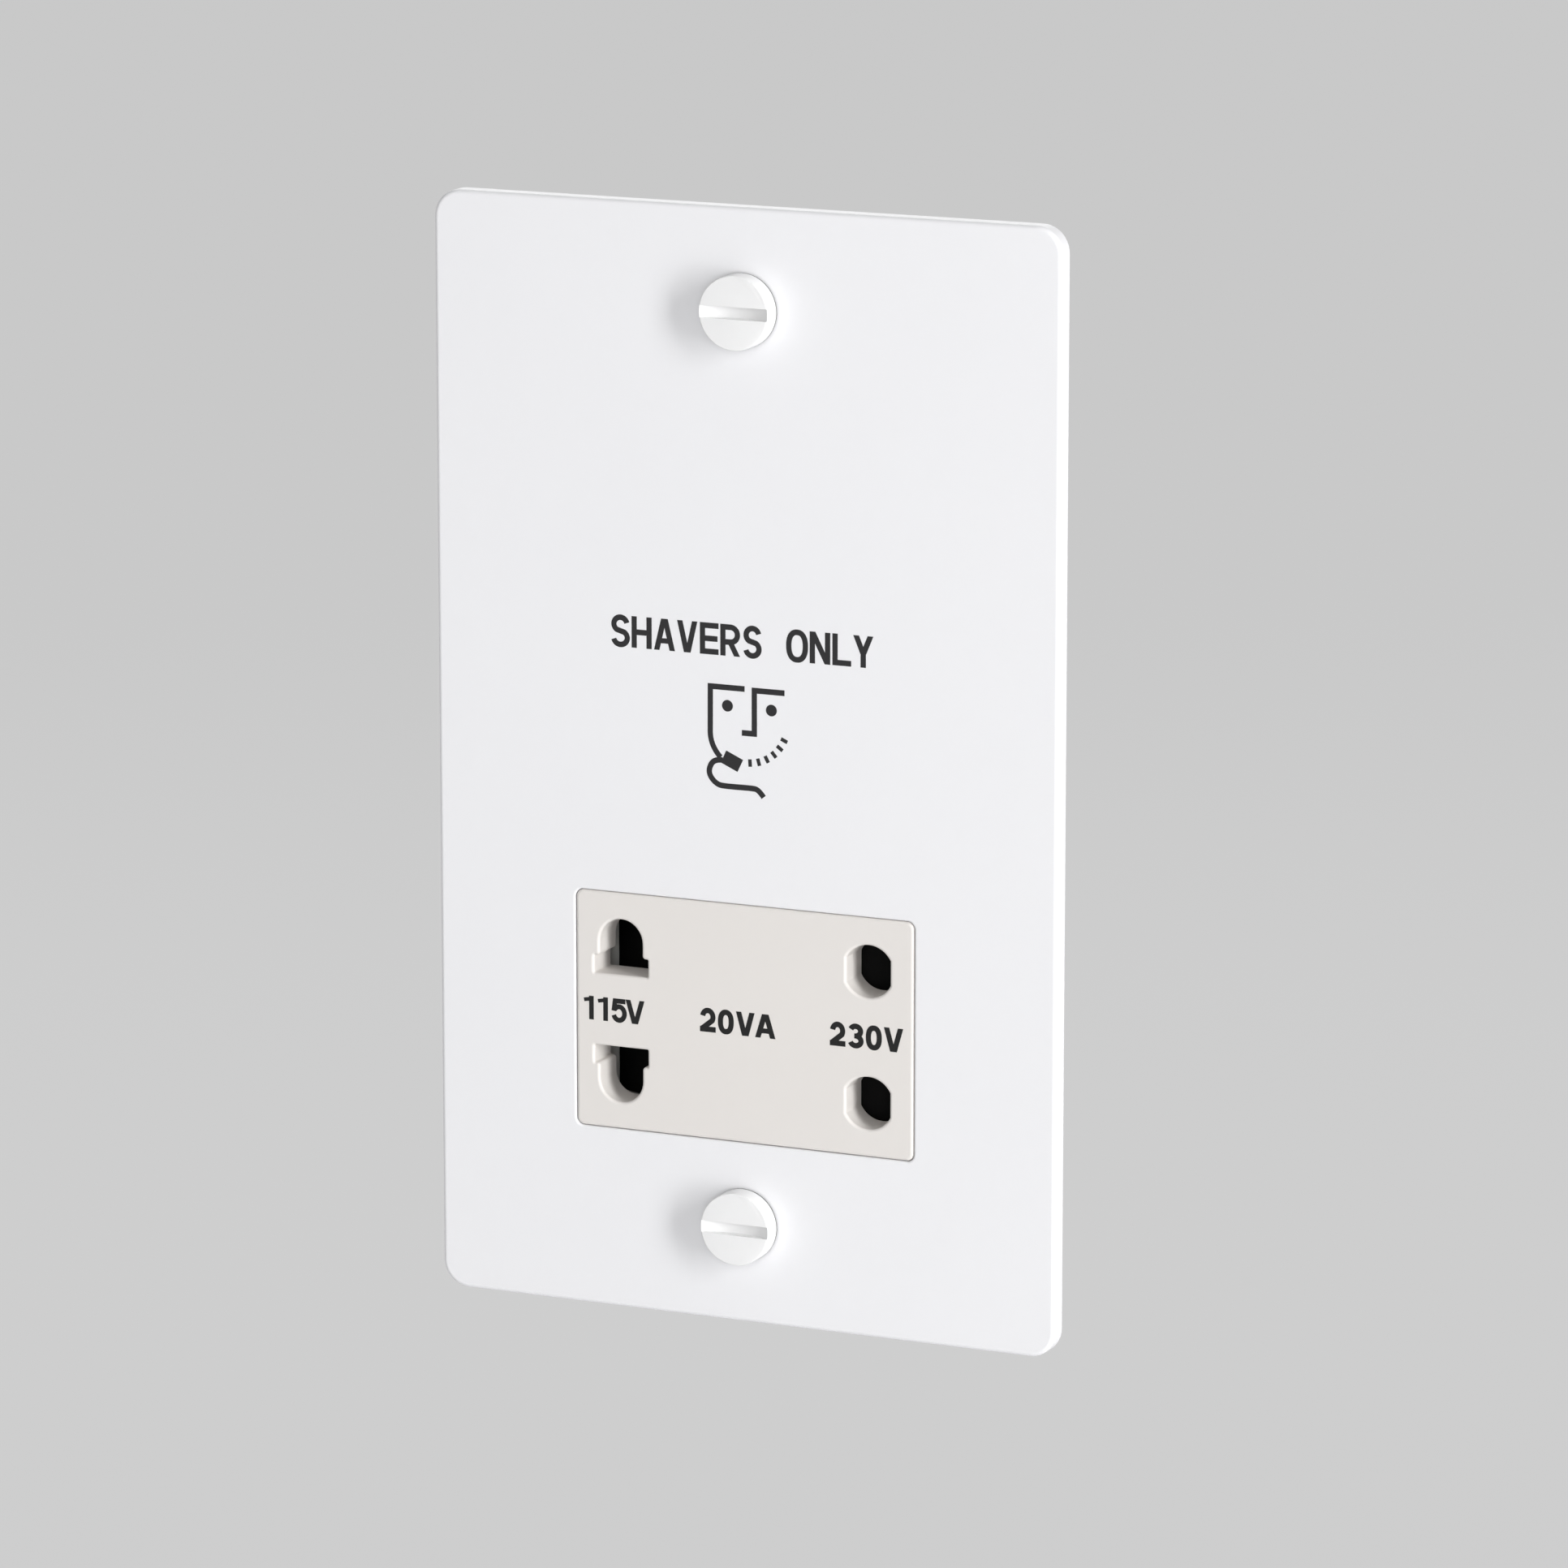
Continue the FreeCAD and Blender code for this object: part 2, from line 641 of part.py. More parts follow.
def rear_cover():
    """Cover with a flange on the casing's rim, a lip inside it and a narrower stepped body."""
    flange = slab(casing_half_width, -casing_half_height, casing_half_height, split_y, split_y + cover_flange,
                  casing_corner_radius)
    flange = flange.makeFillet(flange_edge_radius, edges_at(flange, split_y + cover_flange))
    outside = cover_shell(body_half_width, -body_half_height, step_z, body_half_height, split_y,
                          lower_back_y, upper_back_y, casing_corner_radius, cover_edge_radius)
    inside = cover_shell(body_inner_width, -body_inner_height, step_z + casing_wall, body_inner_height,
                         split_y - 1, lower_inner_y, upper_inner_y, bay_corner_radius, 0)
    lip_outer = slab(bay_half_width - lip_clearance, -bay_half_height + lip_clearance,
                     bay_half_height - lip_clearance, split_y - lip_length, split_y, bay_corner_radius)
    lip_inner = slab(bay_half_width - lip_inset, -bay_half_height + lip_inset, bay_half_height - lip_inset,
                     split_y - lip_length - 1, split_y + 1, bay_corner_radius)
    boss_room = boss_radius + lip_clearance
    notches = [rod(boss_room, x, split_y - lip_length - 1, split_y, z)
               for x, z in corners(cover_screw_x, cover_screw_z)]
    lip = lip_outer.cut([lip_inner] + notches)
    backs = {1: upper_back_y, -1: lower_back_y}
    columns = []
    bores = []
    for x, z in corners(cover_screw_x, cover_screw_z):
        back = backs[1 if z > 0 else -1]
        columns.append(rod(boss_radius, x, split_y, back - casing_wall, z))
        bores.append(rod(tapping_diameter / 2 + tapping_clearance, x, split_y - 1, back + 1, z))
    for x in (-block_screw_x, block_screw_x):
        columns.append(rod(boss_radius, x, lower_inner_y - tapping_bite, lower_inner_y, terminal_middle_z))
        bores.append(pilot(x, lower_inner_y - tapping_bite - 1, lower_back_y + 1, terminal_middle_z))
    vents = []
    for x in (-vent_offset, vent_offset):
        for k in range(vent_count):
            z = core_middle_z + (k - (vent_count - 1) / 2) * vent_pitch
            vents.append(box(x - vent_length / 2, x + vent_length / 2, upper_inner_y - 1, upper_back_y + 1,
                             z - vent_width / 2, z + vent_width / 2))
    lead_holes = [rod(lead_diameter / 2 + lead_hole_gap, x, lower_inner_y - 1, lower_back_y + 1,
                      terminal_middle_z) for x in (-terminal_x, terminal_x)]
    shell = fuse([flange.fuse(outside).cut(inside), lip] + columns)
    return shell.cut(bores + vents + lead_holes)


def terminal_block():
    """Two-way block on the cover's lower back, open below for the mains wires."""
    body = box(-terminal_half_width, terminal_half_width, lower_back_y, terminal_back_y,
               terminal_bottom_z, terminal_top_z)
    ears = box(-terminal_half_width - block_ear, terminal_half_width + block_ear, lower_back_y,
               lower_back_y + block_ear_thickness, terminal_bottom_z, terminal_top_z)
    cuts = []
    for x in (-terminal_x, terminal_x):
        half = barrel_width / 2 + barrel_clearance
        cuts.append(box(x - half, x + half, barrel_y, barrel_y + barrel_depth + barrel_clearance,
                        terminal_bottom_z - 1, terminal_top_z + 1))
        cuts.append(rod(clamp_head_diameter / 2 + clamp_access_gap, x, barrel_y + barrel_depth,
                        terminal_back_y + 1, terminal_middle_z))
        cuts.append(rod(lead_diameter / 2 + lead_hole_gap, x, lower_back_y - 1, barrel_y + 1,
                        terminal_middle_z))
    for x in (-block_screw_x, block_screw_x):
        cuts.append(rod(tapping_diameter / 2 + tapping_clearance, x, lower_back_y - 1, terminal_back_y,
                        terminal_middle_z))
    return fuse([body, ears]).cut(cuts)


def terminal_barrel(x):
    """Brass tube with the wire hole along Z and a tapped hole for the clamp screw behind it."""
    z0 = terminal_bottom_z + barrel_inset
    z1 = terminal_top_z - barrel_inset
    body = box(x - barrel_width / 2, x + barrel_width / 2, barrel_y, barrel_y + barrel_depth, z0, z1)
    wire_way = Part.makeCylinder(wire_radius, z1 - z0 + 2, V(x, wire_y, z0 - 1), ALONG_Z)
    tapped = rod(clamp_screw_diameter / 2 + stake_clearance / 2, x, wire_y, barrel_y + barrel_depth + 1,
                 terminal_middle_z)
    return body.cut([wire_way, tapped])


def clamp_screw(x, seat_y, tip_y, z):
    """Slotted cheese-head screw that clamps a wire, driven from the back."""
    back = seat_y + clamp_head_height
    head = rod(clamp_head_diameter / 2, x, seat_y, back, z)
    shank = rod(clamp_screw_diameter / 2, x, tip_y, seat_y, z)
    half = clamp_slot_width / 2
    slot = box(x - clamp_head_diameter, x + clamp_head_diameter, back - clamp_slot_depth, back + 1,
               z - half, z + half)
    return fuse([head, shank]).cut(slot)


def earth_wire_y():
    return relief_y + wire_floor + wire_radius


def earth_terminal():
    """Brass block on the plate's back, beside the upper fixing screw."""
    body = box(earth_x - earth_width / 2, earth_x + earth_width / 2, relief_y, relief_y + earth_depth,
               fixing_z - earth_height / 2, fixing_z + earth_height / 2)
    wire_start = V(earth_x - earth_width / 2 - 1, earth_wire_y(), fixing_z)
    wire_way = Part.makeCylinder(wire_radius, earth_width + 2, wire_start, ALONG_X)
    tapped = rod(clamp_screw_diameter / 2 + stake_clearance / 2, earth_x, earth_wire_y(),
                 relief_y + earth_depth + 1, fixing_z)
    return body.cut([wire_way, tapped])


def lead(points):
    """Insulated lead along points, with each corner rounded as far as its two runs allow."""
    edges = []
    start = points[0]
    for before, corner, after in zip(points, points[1:], points[2:]):
        back = (before - corner).normalize()
        ahead = (after - corner).normalize()
        turn = math.pi - back.getAngle(ahead)
        shorter = min((before - corner).Length, (after - corner).Length)
        cut_back = 0.45 * shorter
        radius = cut_back / math.tan(turn / 2)
        bisector = (back + ahead).normalize()
        middle = corner + bisector * (radius / math.cos(turn / 2) - radius)
        first = corner + back * cut_back
        second = corner + ahead * cut_back
        edges.append(Part.LineSegment(start, first).toShape())
        edges.append(Part.Arc(first, middle, second).toShape())
        start = second
    edges.append(Part.LineSegment(start, points[-1]).toShape())
    section = Part.Wire(Part.makeCircle(lead_diameter / 2, points[0], points[1] - points[0]))
    return Part.Wire(edges).makePipeShell([section], True, False)


def lead_side_x():
    """Middle of the room between the socket's works and the casing's side."""
    return (body_inner_width + bay_half_width) / 2


def mains_lead_y():
    """Middle of the room between the shutter and the core."""
    return (carrier_front_y + core_front_y) / 2


def mains_start(side):
    """Way of a mains lead from its barrel, over the contacts and forward to the casing's side."""
    back = lower_inner_y - mains_lead_back
    turn_x = side * (column_offset + mains_lead_clear)
    turn_z = core_bottom_z - mains_lead_turn
    return [V(side * terminal_x, barrel_y, terminal_middle_z), V(side * terminal_x, back, terminal_middle_z),
            V(turn_x, back, step_z), V(turn_x, mains_lead_y(), turn_z),
            V(side * lead_side_x(), mains_lead_y(), core_bottom_z)]


def mains_rise(side, z):
    """Way of a mains lead up the casing's side and in over the core at height z."""
    return [V(side * lead_side_x(), mains_lead_y(), z - mains_lead_turn),
            V(side * (column_offset + mains_lead_clear), mains_lead_y(), z)]


def lead_live():
    tab_end = cutout_width / 2 + cutout_tab
    end = [V(tab_end + cutout_lead_side, core_middle_y, cutout_z), V(tab_end, core_middle_y, cutout_z)]
    return lead(mains_start(1) + mains_rise(1, cutout_z) + end)


def lead_neutral():
    end = [V(primary_pin_offset, pin_y(), neutral_lead_z), V(primary_pin_offset, pin_y(), pin_end_z(1))]
    return lead(mains_start(-1) + mains_rise(-1, neutral_lead_z) + end)


def lead_cutout():
    tab_end = cutout_width / 2 + cutout_tab
    out = tab_end + cutout_lead_side
    return lead([V(-tab_end, core_middle_y, cutout_z), V(-out, core_middle_y, cutout_z),
                 V(-out, pin_y(), cutout_z + 1), V(-primary_pin_offset, pin_y(), cutout_z + 1),
                 V(-primary_pin_offset, pin_y(), pin_end_z(1))])


def contact_lead(pin_x, tag_x, tag_z):
    """Lead from a secondary pin, forward past the step and down to a contact's tag."""
    y = contact_back_y + contact_lead_back
    drop = (pin_end_z(-1) + step_z) / 2
    return lead([V(pin_x, pin_y(), pin_end_z(-1)), V(pin_x, pin_y(), drop), V(tag_x, y, step_z + casing_wall),
                 V(tag_x, y, tag_z), V(tag_x, contact_back_y, tag_z)])


def tag_middle_z():
    return face_centre_z + contact_offset + leaf_root + (contact_thickness + tag_length) / 2


def group(solids):
    return Part.makeCompound(solids)


cover_seats = [(x, upper_back_y if z > 0 else lower_back_y, z)
               for x, z in corners(cover_screw_x, cover_screw_z)]
core_screw_places = [(x, core_middle_z + z) for x, z in corners(core_hole_x, core_hole_z)]
barrel_back_y = barrel_y + barrel_depth
clamp_tip_y = wire_y + wire_radius + clamp_tip_gap
earth_back_y = relief_y + earth_depth
earth_tip_y = earth_wire_y() + wire_radius + clamp_tip_gap
pin_places = [(x, 1) for x in (-primary_pin_offset, primary_pin_offset)]
pin_places += [(x, -1) for x in (-secondary_pin_offset, 0, secondary_pin_offset)]

nodes = {
    "front_plate": front_plate(),
    "fixing_screws": group([fixing_screw(s * fixing_z) for s in (-1, 1)]),
    "screw_retainers": group([screw_retainer(s * fixing_z) for s in (-1, 1)]),
    "plate_studs": group([plate_stud(x, z) for x, z in corners(stud_x, stud_z)]),
    "stud_nuts": group([stud_nut(x, z) for x, z in corners(stud_x, stud_z)]),
    "earth_terminal": earth_terminal(),
    "earth_screw": clamp_screw(earth_x, earth_back_y, earth_tip_y, fixing_z),
    "front_casing": front_casing(),
    "shutter": shutter(),
    "shutter_spring": shutter_spring(),
    "contact_carrier": contact_carrier(),
    "carrier_screws": group([tapping_screw(0, carrier_front_y + ear_thickness,
                                           carrier_front_y - tapping_bite + tapping_clearance,
                                           face_centre_z + side * ear_offset) for side in (-1, 1)]),
    "contact_common": common_contact(),
    "contact_115v": single_contact(-1),
    "contact_230v": single_contact(1),
    "transformer_core": transformer_core(),
    "core_screws": group([tapping_screw(x, core_back_y, floor_y + tapping_bite, z)
                          for x, z in core_screw_places]),
    "bobbin": bobbin(),
    "bobbin_pins": group([bobbin_pin(x, side) for x, side in pin_places]),
    "primary_winding": winding(1),
    "secondary_winding": winding(-1),
    "thermal_cutout": thermal_cutout(),
    "rear_cover": rear_cover(),
    "cover_screws": group([tapping_screw(x, seat, split_y - tapping_bite, z) for x, seat, z in cover_seats]),
    "terminal_block": terminal_block(),
    "block_screws": group([tapping_screw(x, lower_back_y + block_ear_thickness, lower_inner_y - tapping_bite,
                                         terminal_middle_z) for x in (-block_screw_x, block_screw_x)]),
    "terminal_barrels": group([terminal_barrel(x) for x in (-terminal_x, terminal_x)]),
    "terminal_screws": group([clamp_screw(x, barrel_back_y, clamp_tip_y, terminal_middle_z)
                              for x in (-terminal_x, terminal_x)]),
    "lead_live": lead_live(),
    "lead_neutral": lead_neutral(),
    "lead_cutout": lead_cutout(),
    "lead_115v": contact_lead(-secondary_pin_offset, -column_offset, tag_middle_z()),
    "lead_230v": contact_lead(secondary_pin_offset, column_offset, tag_middle_z()),
    "lead_common": contact_lead(0, common_tag_x, face_centre_z - contact_offset),
}

os.makedirs("parts", exist_ok=True)
for name, shape in nodes.items():
    shape.exportStep("parts/" + name + ".step")
    print(name, len(shape.Solids), shape.isValid(), round(shape.Volume, 1))
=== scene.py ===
import math

import bmesh
import bpy
from mathutils import Matrix, Vector


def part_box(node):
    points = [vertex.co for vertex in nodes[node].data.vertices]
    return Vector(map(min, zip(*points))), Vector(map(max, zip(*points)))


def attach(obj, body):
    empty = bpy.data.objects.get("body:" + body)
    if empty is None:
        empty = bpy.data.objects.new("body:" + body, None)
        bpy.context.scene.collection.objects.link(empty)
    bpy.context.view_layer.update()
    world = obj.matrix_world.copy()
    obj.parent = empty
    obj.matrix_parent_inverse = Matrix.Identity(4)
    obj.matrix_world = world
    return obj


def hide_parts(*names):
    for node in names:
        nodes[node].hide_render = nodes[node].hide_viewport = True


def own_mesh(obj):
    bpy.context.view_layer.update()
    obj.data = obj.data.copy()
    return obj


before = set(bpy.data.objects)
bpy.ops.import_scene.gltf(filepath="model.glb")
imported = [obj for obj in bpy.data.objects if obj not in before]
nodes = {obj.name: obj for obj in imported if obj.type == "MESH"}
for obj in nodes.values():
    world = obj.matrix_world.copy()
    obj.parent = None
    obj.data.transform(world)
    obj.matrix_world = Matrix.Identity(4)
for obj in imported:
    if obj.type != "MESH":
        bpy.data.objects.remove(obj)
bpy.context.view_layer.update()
scene = bpy.context.scene
scene.view_settings.view_transform = "Standard"

MM = 0.001
SAME_POINT = 0.001 * MM
SAME_PLANE = 0.01 * MM

# Places taken from the CAD nodes
RETAINER_RADIUS = 4.0 * MM
retainer_low, retainer_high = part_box("screw_retainers")
fixing_middle = (retainer_high.z + retainer_low.z) / 2
fixing_reach = (retainer_high.z - retainer_low.z) / 2 - RETAINER_RADIUS
neck_end = retainer_high.y
screw_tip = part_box("fixing_screws")[1].y
plate_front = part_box("front_plate")[0].y


def linear(*eight_bit):
    """Scene colour of a colour given in 8-bit display values."""
    shares = [v / 255 for v in eight_bit]
    return tuple(s / 12.92 if s <= 0.04045 else ((s + 0.055) / 1.055) ** 2.4 for s in shares) + (1.0,)


# Node trees for materials and for geometry

def new_tree(name, kind, inputs, outputs):
    """Empty tree with named sockets: the tree, the sockets that it is given and those that it fills."""
    tree = bpy.data.node_groups.new(name, kind)
    for label, socket_kind, value in inputs:
        socket = tree.interface.new_socket(name=label, in_out="INPUT", socket_type="NodeSocket" + socket_kind)
        if value is not None:
            socket.default_value = value
    for label, socket_kind in outputs:
        tree.interface.new_socket(name=label, in_out="OUTPUT", socket_type="NodeSocket" + socket_kind)
    given = tree.nodes.new("NodeGroupInput")
    filled = tree.nodes.new("NodeGroupOutput")
    return tree, given.outputs, filled.inputs


def feed(tree, node, values):
    """Links sockets to a node's inputs, or sets them to values, by name or number."""
    for label, value in values.items():
        if isinstance(value, bpy.types.NodeSocket):
            tree.links.new(value, node.inputs[label])
        else:
            node.inputs[label].default_value = value


def add(tree, kind, values, **settings):
    """New node with its settings made and its inputs fed."""
    node = tree.nodes.new(kind)
    for label, setting in settings.items():
        setattr(node, label, setting)
    feed(tree, node, values)
    return node


def reckon(tree, operation, first, second=0.0):
    """Result of an operation on two sockets or numbers."""
    return add(tree, "ShaderNodeMath", {0: first, 1: second}, operation=operation).outputs["Value"]


def vector(tree, x=0.0, y=0.0, z=0.0):
    """Vector from three sockets or numbers."""
    return add(tree, "ShaderNodeCombineXYZ", {"X": x, "Y": y, "Z": z}).outputs["Vector"]


# Shader groups shared by the finishes

TONES = [("Tone A", "Color", (0.8, 0.8, 0.8, 1)), ("Tone B", "Color", (0.7, 0.7, 0.7, 1)),
         ("Rough Low", "Float", 0.4), ("Rough High", "Float", 0.5)]
SURFACE = [("Colour", "Color"), ("Roughness", "Float"), ("Height", "Float")]


def object_place(group):
    return group.nodes.new("ShaderNodeTexCoord").outputs["Object"]


def noise(group, place, scale, detail, roughness=0.55):
    values = {"Vector": place, "Scale": scale, "Detail": detail, "Roughness": roughness}
    return add(group, "ShaderNodeTexNoise", values).outputs["Fac"]


def spread(group, value, low, high, from_min=0.3, from_max=0.7):
    """Value stretched between two sockets; most of a noise lies between 0.3 and 0.7."""
    values = {"Value": value, "From Min": from_min, "From Max": from_max, "To Min": low, "To Max": high}
    return add(group, "ShaderNodeMapRange", values).outputs["Result"]


def ease(group, value, start, end):
    """0 up to start and 1 from end on, with a smooth rise between."""
    values = {"Value": value, "From Min": start, "From Max": end}
    return add(group, "ShaderNodeMapRange", values, interpolation_type="SMOOTHSTEP").outputs["Result"]


def two_tone(group, mask, first, second):
    """Colour between two sockets by a mask; inputs 6 and 7 and output 2 are the node's colours."""
    return add(group, "ShaderNodeMix", {"Factor": mask, 6: first, 7: second}, data_type="RGBA").outputs[2]


def put_out(group, filled, colour, roughness, height):
    """Fills the three outputs of a surface."""
    for label, value in (("Colour", colour), ("Roughness", roughness), ("Height", height)):
        group.links.new(value, filled[label])


def make_skin_group():
    """Coated or moulded skin: slow patches of tone under a fine grain of gloss and height."""
    scales = [("Patch Scale", "Float", 40.0), ("Grain Scale", "Float", 1500.0)]
    group, given, filled = new_tree("skin", "ShaderNodeTree", TONES + scales, SURFACE)
    place = object_place(group)
    patches = noise(group, place, given["Patch Scale"], 3.0)
    grain = noise(group, place, given["Grain Scale"], 2.0)
    put_out(group, filled, two_tone(group, patches, given["Tone A"], given["Tone B"]),
            spread(group, grain, given["Rough Low"], given["Rough High"]), grain)
    return group


def make_drawn_group():
    """Rolled, drawn or turned metal: fine lines stretched along one direction."""
    line_inputs = [("Stretch", "Vector", (1.0, 1.0, 1.0)), ("Line Scale", "Float", 900.0)]
    group, given, filled = new_tree("drawn", "ShaderNodeTree", TONES + line_inputs, SURFACE)
    stretched = add(group, "ShaderNodeVectorMath", {0: object_place(group), 1: given["Stretch"]},
                    operation="MULTIPLY").outputs["Vector"]
    lines = noise(group, stretched, given["Line Scale"], 4.0, 0.7)
    put_out(group, filled, two_tone(group, lines, given["Tone A"], given["Tone B"]),
            spread(group, lines, given["Rough Low"], given["Rough High"]), lines)
    return group


def make_layers_group():
    """Even layers across one direction: stacked sheets, or turns of wire laid side by side."""
    groove = 0.35
    layer_inputs = [("Across", "Vector", (0.0, 1.0, 0.0)), ("Layers Per Metre", "Float", 2000.0)]
    group, given, filled = new_tree("layers", "ShaderNodeTree", TONES + layer_inputs, SURFACE)
    along = add(group, "ShaderNodeVectorMath", {0: object_place(group), 1: given["Across"]},
                operation="DOT_PRODUCT").outputs["Value"]
    wave = reckon(group, "PINGPONG", reckon(group, "MULTIPLY", along, given["Layers Per Metre"]), 0.5)
    height = ease(group, wave, 0.0, groove)
    put_out(group, filled, two_tone(group, height, given["Tone B"], given["Tone A"]),
            spread(group, height, given["Rough High"], given["Rough Low"], 0.0, 1.0), height)
    return group


def make_contact_shadow_group():
    """Colour that darkens towards a plane across Y: a painted contact shadow where a part meets that plane,
    darkest next to it.
    """
    full_dark = 0.4
    # Line is the colour of the painted shadow; Reach is how far from the plane it fades out
    shadow_inputs = [("Colour", "Color", (0.8, 0.8, 0.8, 1)), ("Line", "Color", (0.1, 0.1, 0.1, 1)),
                   ("Plane", "Float", 0.0), ("Reach", "Float", 0.3 * MM)]
    group, given, filled = new_tree("contact_shadow", "ShaderNodeTree", shadow_inputs, [("Colour", "Color")])
    place_y = add(group, "ShaderNodeSeparateXYZ", {"Vector": object_place(group)}).outputs["Y"]
    share = reckon(group, "DIVIDE", reckon(group, "SUBTRACT", given["Plane"], place_y), given["Reach"])
    colour = two_tone(group, ease(group, share, full_dark, 1.0), given["Line"], given["Colour"])
    group.links.new(colour, filled["Colour"])
    return group


skin = make_skin_group()
drawn = make_drawn_group()
layers = make_layers_group()
contact_shadow = make_contact_shadow_group()


# Finishes

def finish(name, group, light, dark, roughness, bump, metallic=0.0, specular=0.5, **settings):
    """Material from a shared group with its own values; bump is strength and depth in metres."""
    material = bpy.data.materials.new(name)
    material.use_nodes = True
    tree = material.node_tree
    values = {"Tone A": linear(*light), "Tone B": linear(*dark)}
    values.update(zip(("Rough Low", "Rough High"), roughness))
    values.update((label.replace("_", " ").title(), value) for label, value in settings.items())
    effect = add(tree, "ShaderNodeGroup", values, node_tree=group).outputs
    relief = add(tree, "ShaderNodeBump", {
        "Strength": bump[0], "Distance": bump[1], "Height": effect["Height"]}).outputs
    feed(tree, tree.nodes["Principled BSDF"], {
        "Base Color": effect["Colour"], "Roughness": effect["Roughness"], "Normal": relief["Normal"],
        "Metallic": metallic, "Specular IOR Level": specular})
    return material


def paint_contact_shadow(material, line, plane, reach):
    """Paints a dark contact shadow into a finish, along the line where the part meets a plane."""
    tree = material.node_tree
    colour = tree.nodes["Principled BSDF"].inputs["Base Color"]
    values = {"Colour": colour.links[0].from_socket, "Line": line, "Plane": plane, "Reach": reach}
    effect = add(tree, "ShaderNodeGroup", values, node_tree=contact_shadow)
    tree.links.new(effect.outputs["Colour"], colour)


def moulding(name, light, dark, roughness=(0.42, 0.5), grain=2600.0, bump=(0.12, 0.02 * MM), specular=0.5):
    return finish(name, skin, light, dark, roughness, bump, specular=specular, patch_scale=35.0,
                  grain_scale=grain)


def metal(name, light, dark, stretch=(1.0, 0.12, 1.0)):
    return finish(name, drawn, light, dark, (0.26, 0.4), (0.15, 0.02 * MM), metallic=1.0, stretch=stretch,
                  line_scale=2200.0)


powder_coat = finish("powder_coat", skin, (241, 241, 243), (238, 238, 240), roughness=(0.46, 0.56),
                     bump=(0.16, 0.03 * MM), patch_scale=22.0, grain_scale=1700.0)
screw_enamel_and_shadow = finish("screw_enamel_and_shadow", skin, (243, 243, 243), (238, 238, 238), roughness=(0.3, 0.4),
                      bump=(0.1, 0.02 * MM), patch_scale=300.0, grain_scale=1500.0)
# Painted contact shadow: the screw heads darken to grey over their last 0.46 mm before the plate's front
paint_contact_shadow(screw_enamel_and_shadow, line=linear(45, 45, 45), plane=plate_front, reach=0.46 * MM)
socket_cream = moulding("socket_cream", (231, 227, 223), (228, 224, 220), roughness=(0.4, 0.48))
cover_white = moulding("cover_white", (226, 226, 222), (219, 219, 214), roughness=(0.5, 0.62), grain=1500.0,
                       bump=(0.25, 0.04 * MM))
block_white = moulding("block_white", (232, 232, 228), (226, 226, 221), roughness=(0.42, 0.52))
nylon = moulding("nylon", (228, 226, 212), (220, 217, 202), roughness=(0.35, 0.45))
shutter_black = moulding("shutter_black", (7, 7, 7), (4, 4, 4), roughness=(0.6, 0.7), specular=0.1)
cutout_black = moulding("cutout_black", (38, 38, 40), (28, 28, 30))
zinc_plate = metal("zinc_plate", (206, 208, 210), (176, 180, 186))
spring_wire = metal("spring_wire", (190, 190, 188), (160, 160, 158))
tinned_wire = metal("tinned_wire", (214, 214, 212), (190, 190, 190))
machined_brass = metal("machined_brass", (222, 188, 112), (198, 160, 84))
rolled_brass = metal("rolled_brass", (226, 190, 110), (205, 166, 88), stretch=(0.12, 1.0, 1.0))
core_sheets = finish("core_sheets", layers, (104, 106, 110), (46, 46, 50), roughness=(0.35, 0.6),
                     bump=(0.4, 0.06 * MM), metallic=1.0, across=(0.0, 1.0, 0.0), layers_per_metre=2000.0)
copper_turns = finish("copper_turns", layers, (196, 108, 62), (96, 44, 24), roughness=(0.25, 0.45),
                      bump=(0.6, 0.1 * MM), metallic=1.0, across=(0.0, 0.0, 1.0), layers_per_metre=3200.0)
plate_ink = moulding("plate_ink", (37, 36, 38), (33, 32, 34), roughness=(0.5, 0.6), grain=3000.0)
face_ink = moulding("face_ink", (15, 15, 15), (12, 12, 12), roughness=(0.5, 0.6), grain=3000.0)


def insulation(name, light, dark):
    return moulding(name, light, dark, roughness=(0.4, 0.5), grain=1200.0)


lead_brown = insulation("lead_brown", (104, 66, 40), (92, 57, 34))
lead_blue = insulation("lead_blue", (40, 88, 170), (32, 76, 150))
lead_yellow = insulation("lead_yellow", (226, 190, 50), (212, 176, 40))
lead_red = insulation("lead_red", (186, 40, 34), (168, 32, 28))
lead_black = insulation("lead_black", (36, 36, 38), (28, 28, 30))

# Nodes that aren't listed are zinc-plated fasteners
FINISHES = {
    "front_plate": powder_coat, "front_casing": socket_cream, "shutter": shutter_black,
    "shutter_spring": spring_wire, "contact_carrier": block_white, "rear_cover": cover_white,
    "terminal_block": block_white, "screw_retainers": nylon, "bobbin": nylon, "bobbin_pins": tinned_wire,
    "contact_common": rolled_brass, "contact_115v": rolled_brass, "contact_230v": rolled_brass,
    "earth_terminal": machined_brass, "terminal_barrels": machined_brass, "transformer_core": core_sheets,
    "primary_winding": copper_turns, "secondary_winding": copper_turns, "thermal_cutout": cutout_black,
    "lead_live": lead_brown, "lead_cutout": lead_brown, "lead_neutral": lead_blue, "lead_115v": lead_yellow,
    "lead_230v": lead_red, "lead_common": lead_black,
}
for node_name, node in nodes.items():
    node.data.materials.clear()
    node.data.materials.append(FINISHES.get(node_name, zinc_plate))


# Pieces made here

def piece(name, mesh, materials, body):
    """Object at the origin that rides a body and takes the finishes it is given."""
    for material in materials:
        mesh.materials.append(material)
    made = bpy.data.objects.new(name, mesh)
    scene.collection.objects.link(made)
    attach(made, body)
    return made


def geometry_tree(name, inputs):
    """Empty geometry tree with named inputs, a material among them, and one geometry output."""
    return new_tree(name, "GeometryNodeTree", inputs + [("Material", "Material", None)],
                    [("Geometry", "Geometry")])


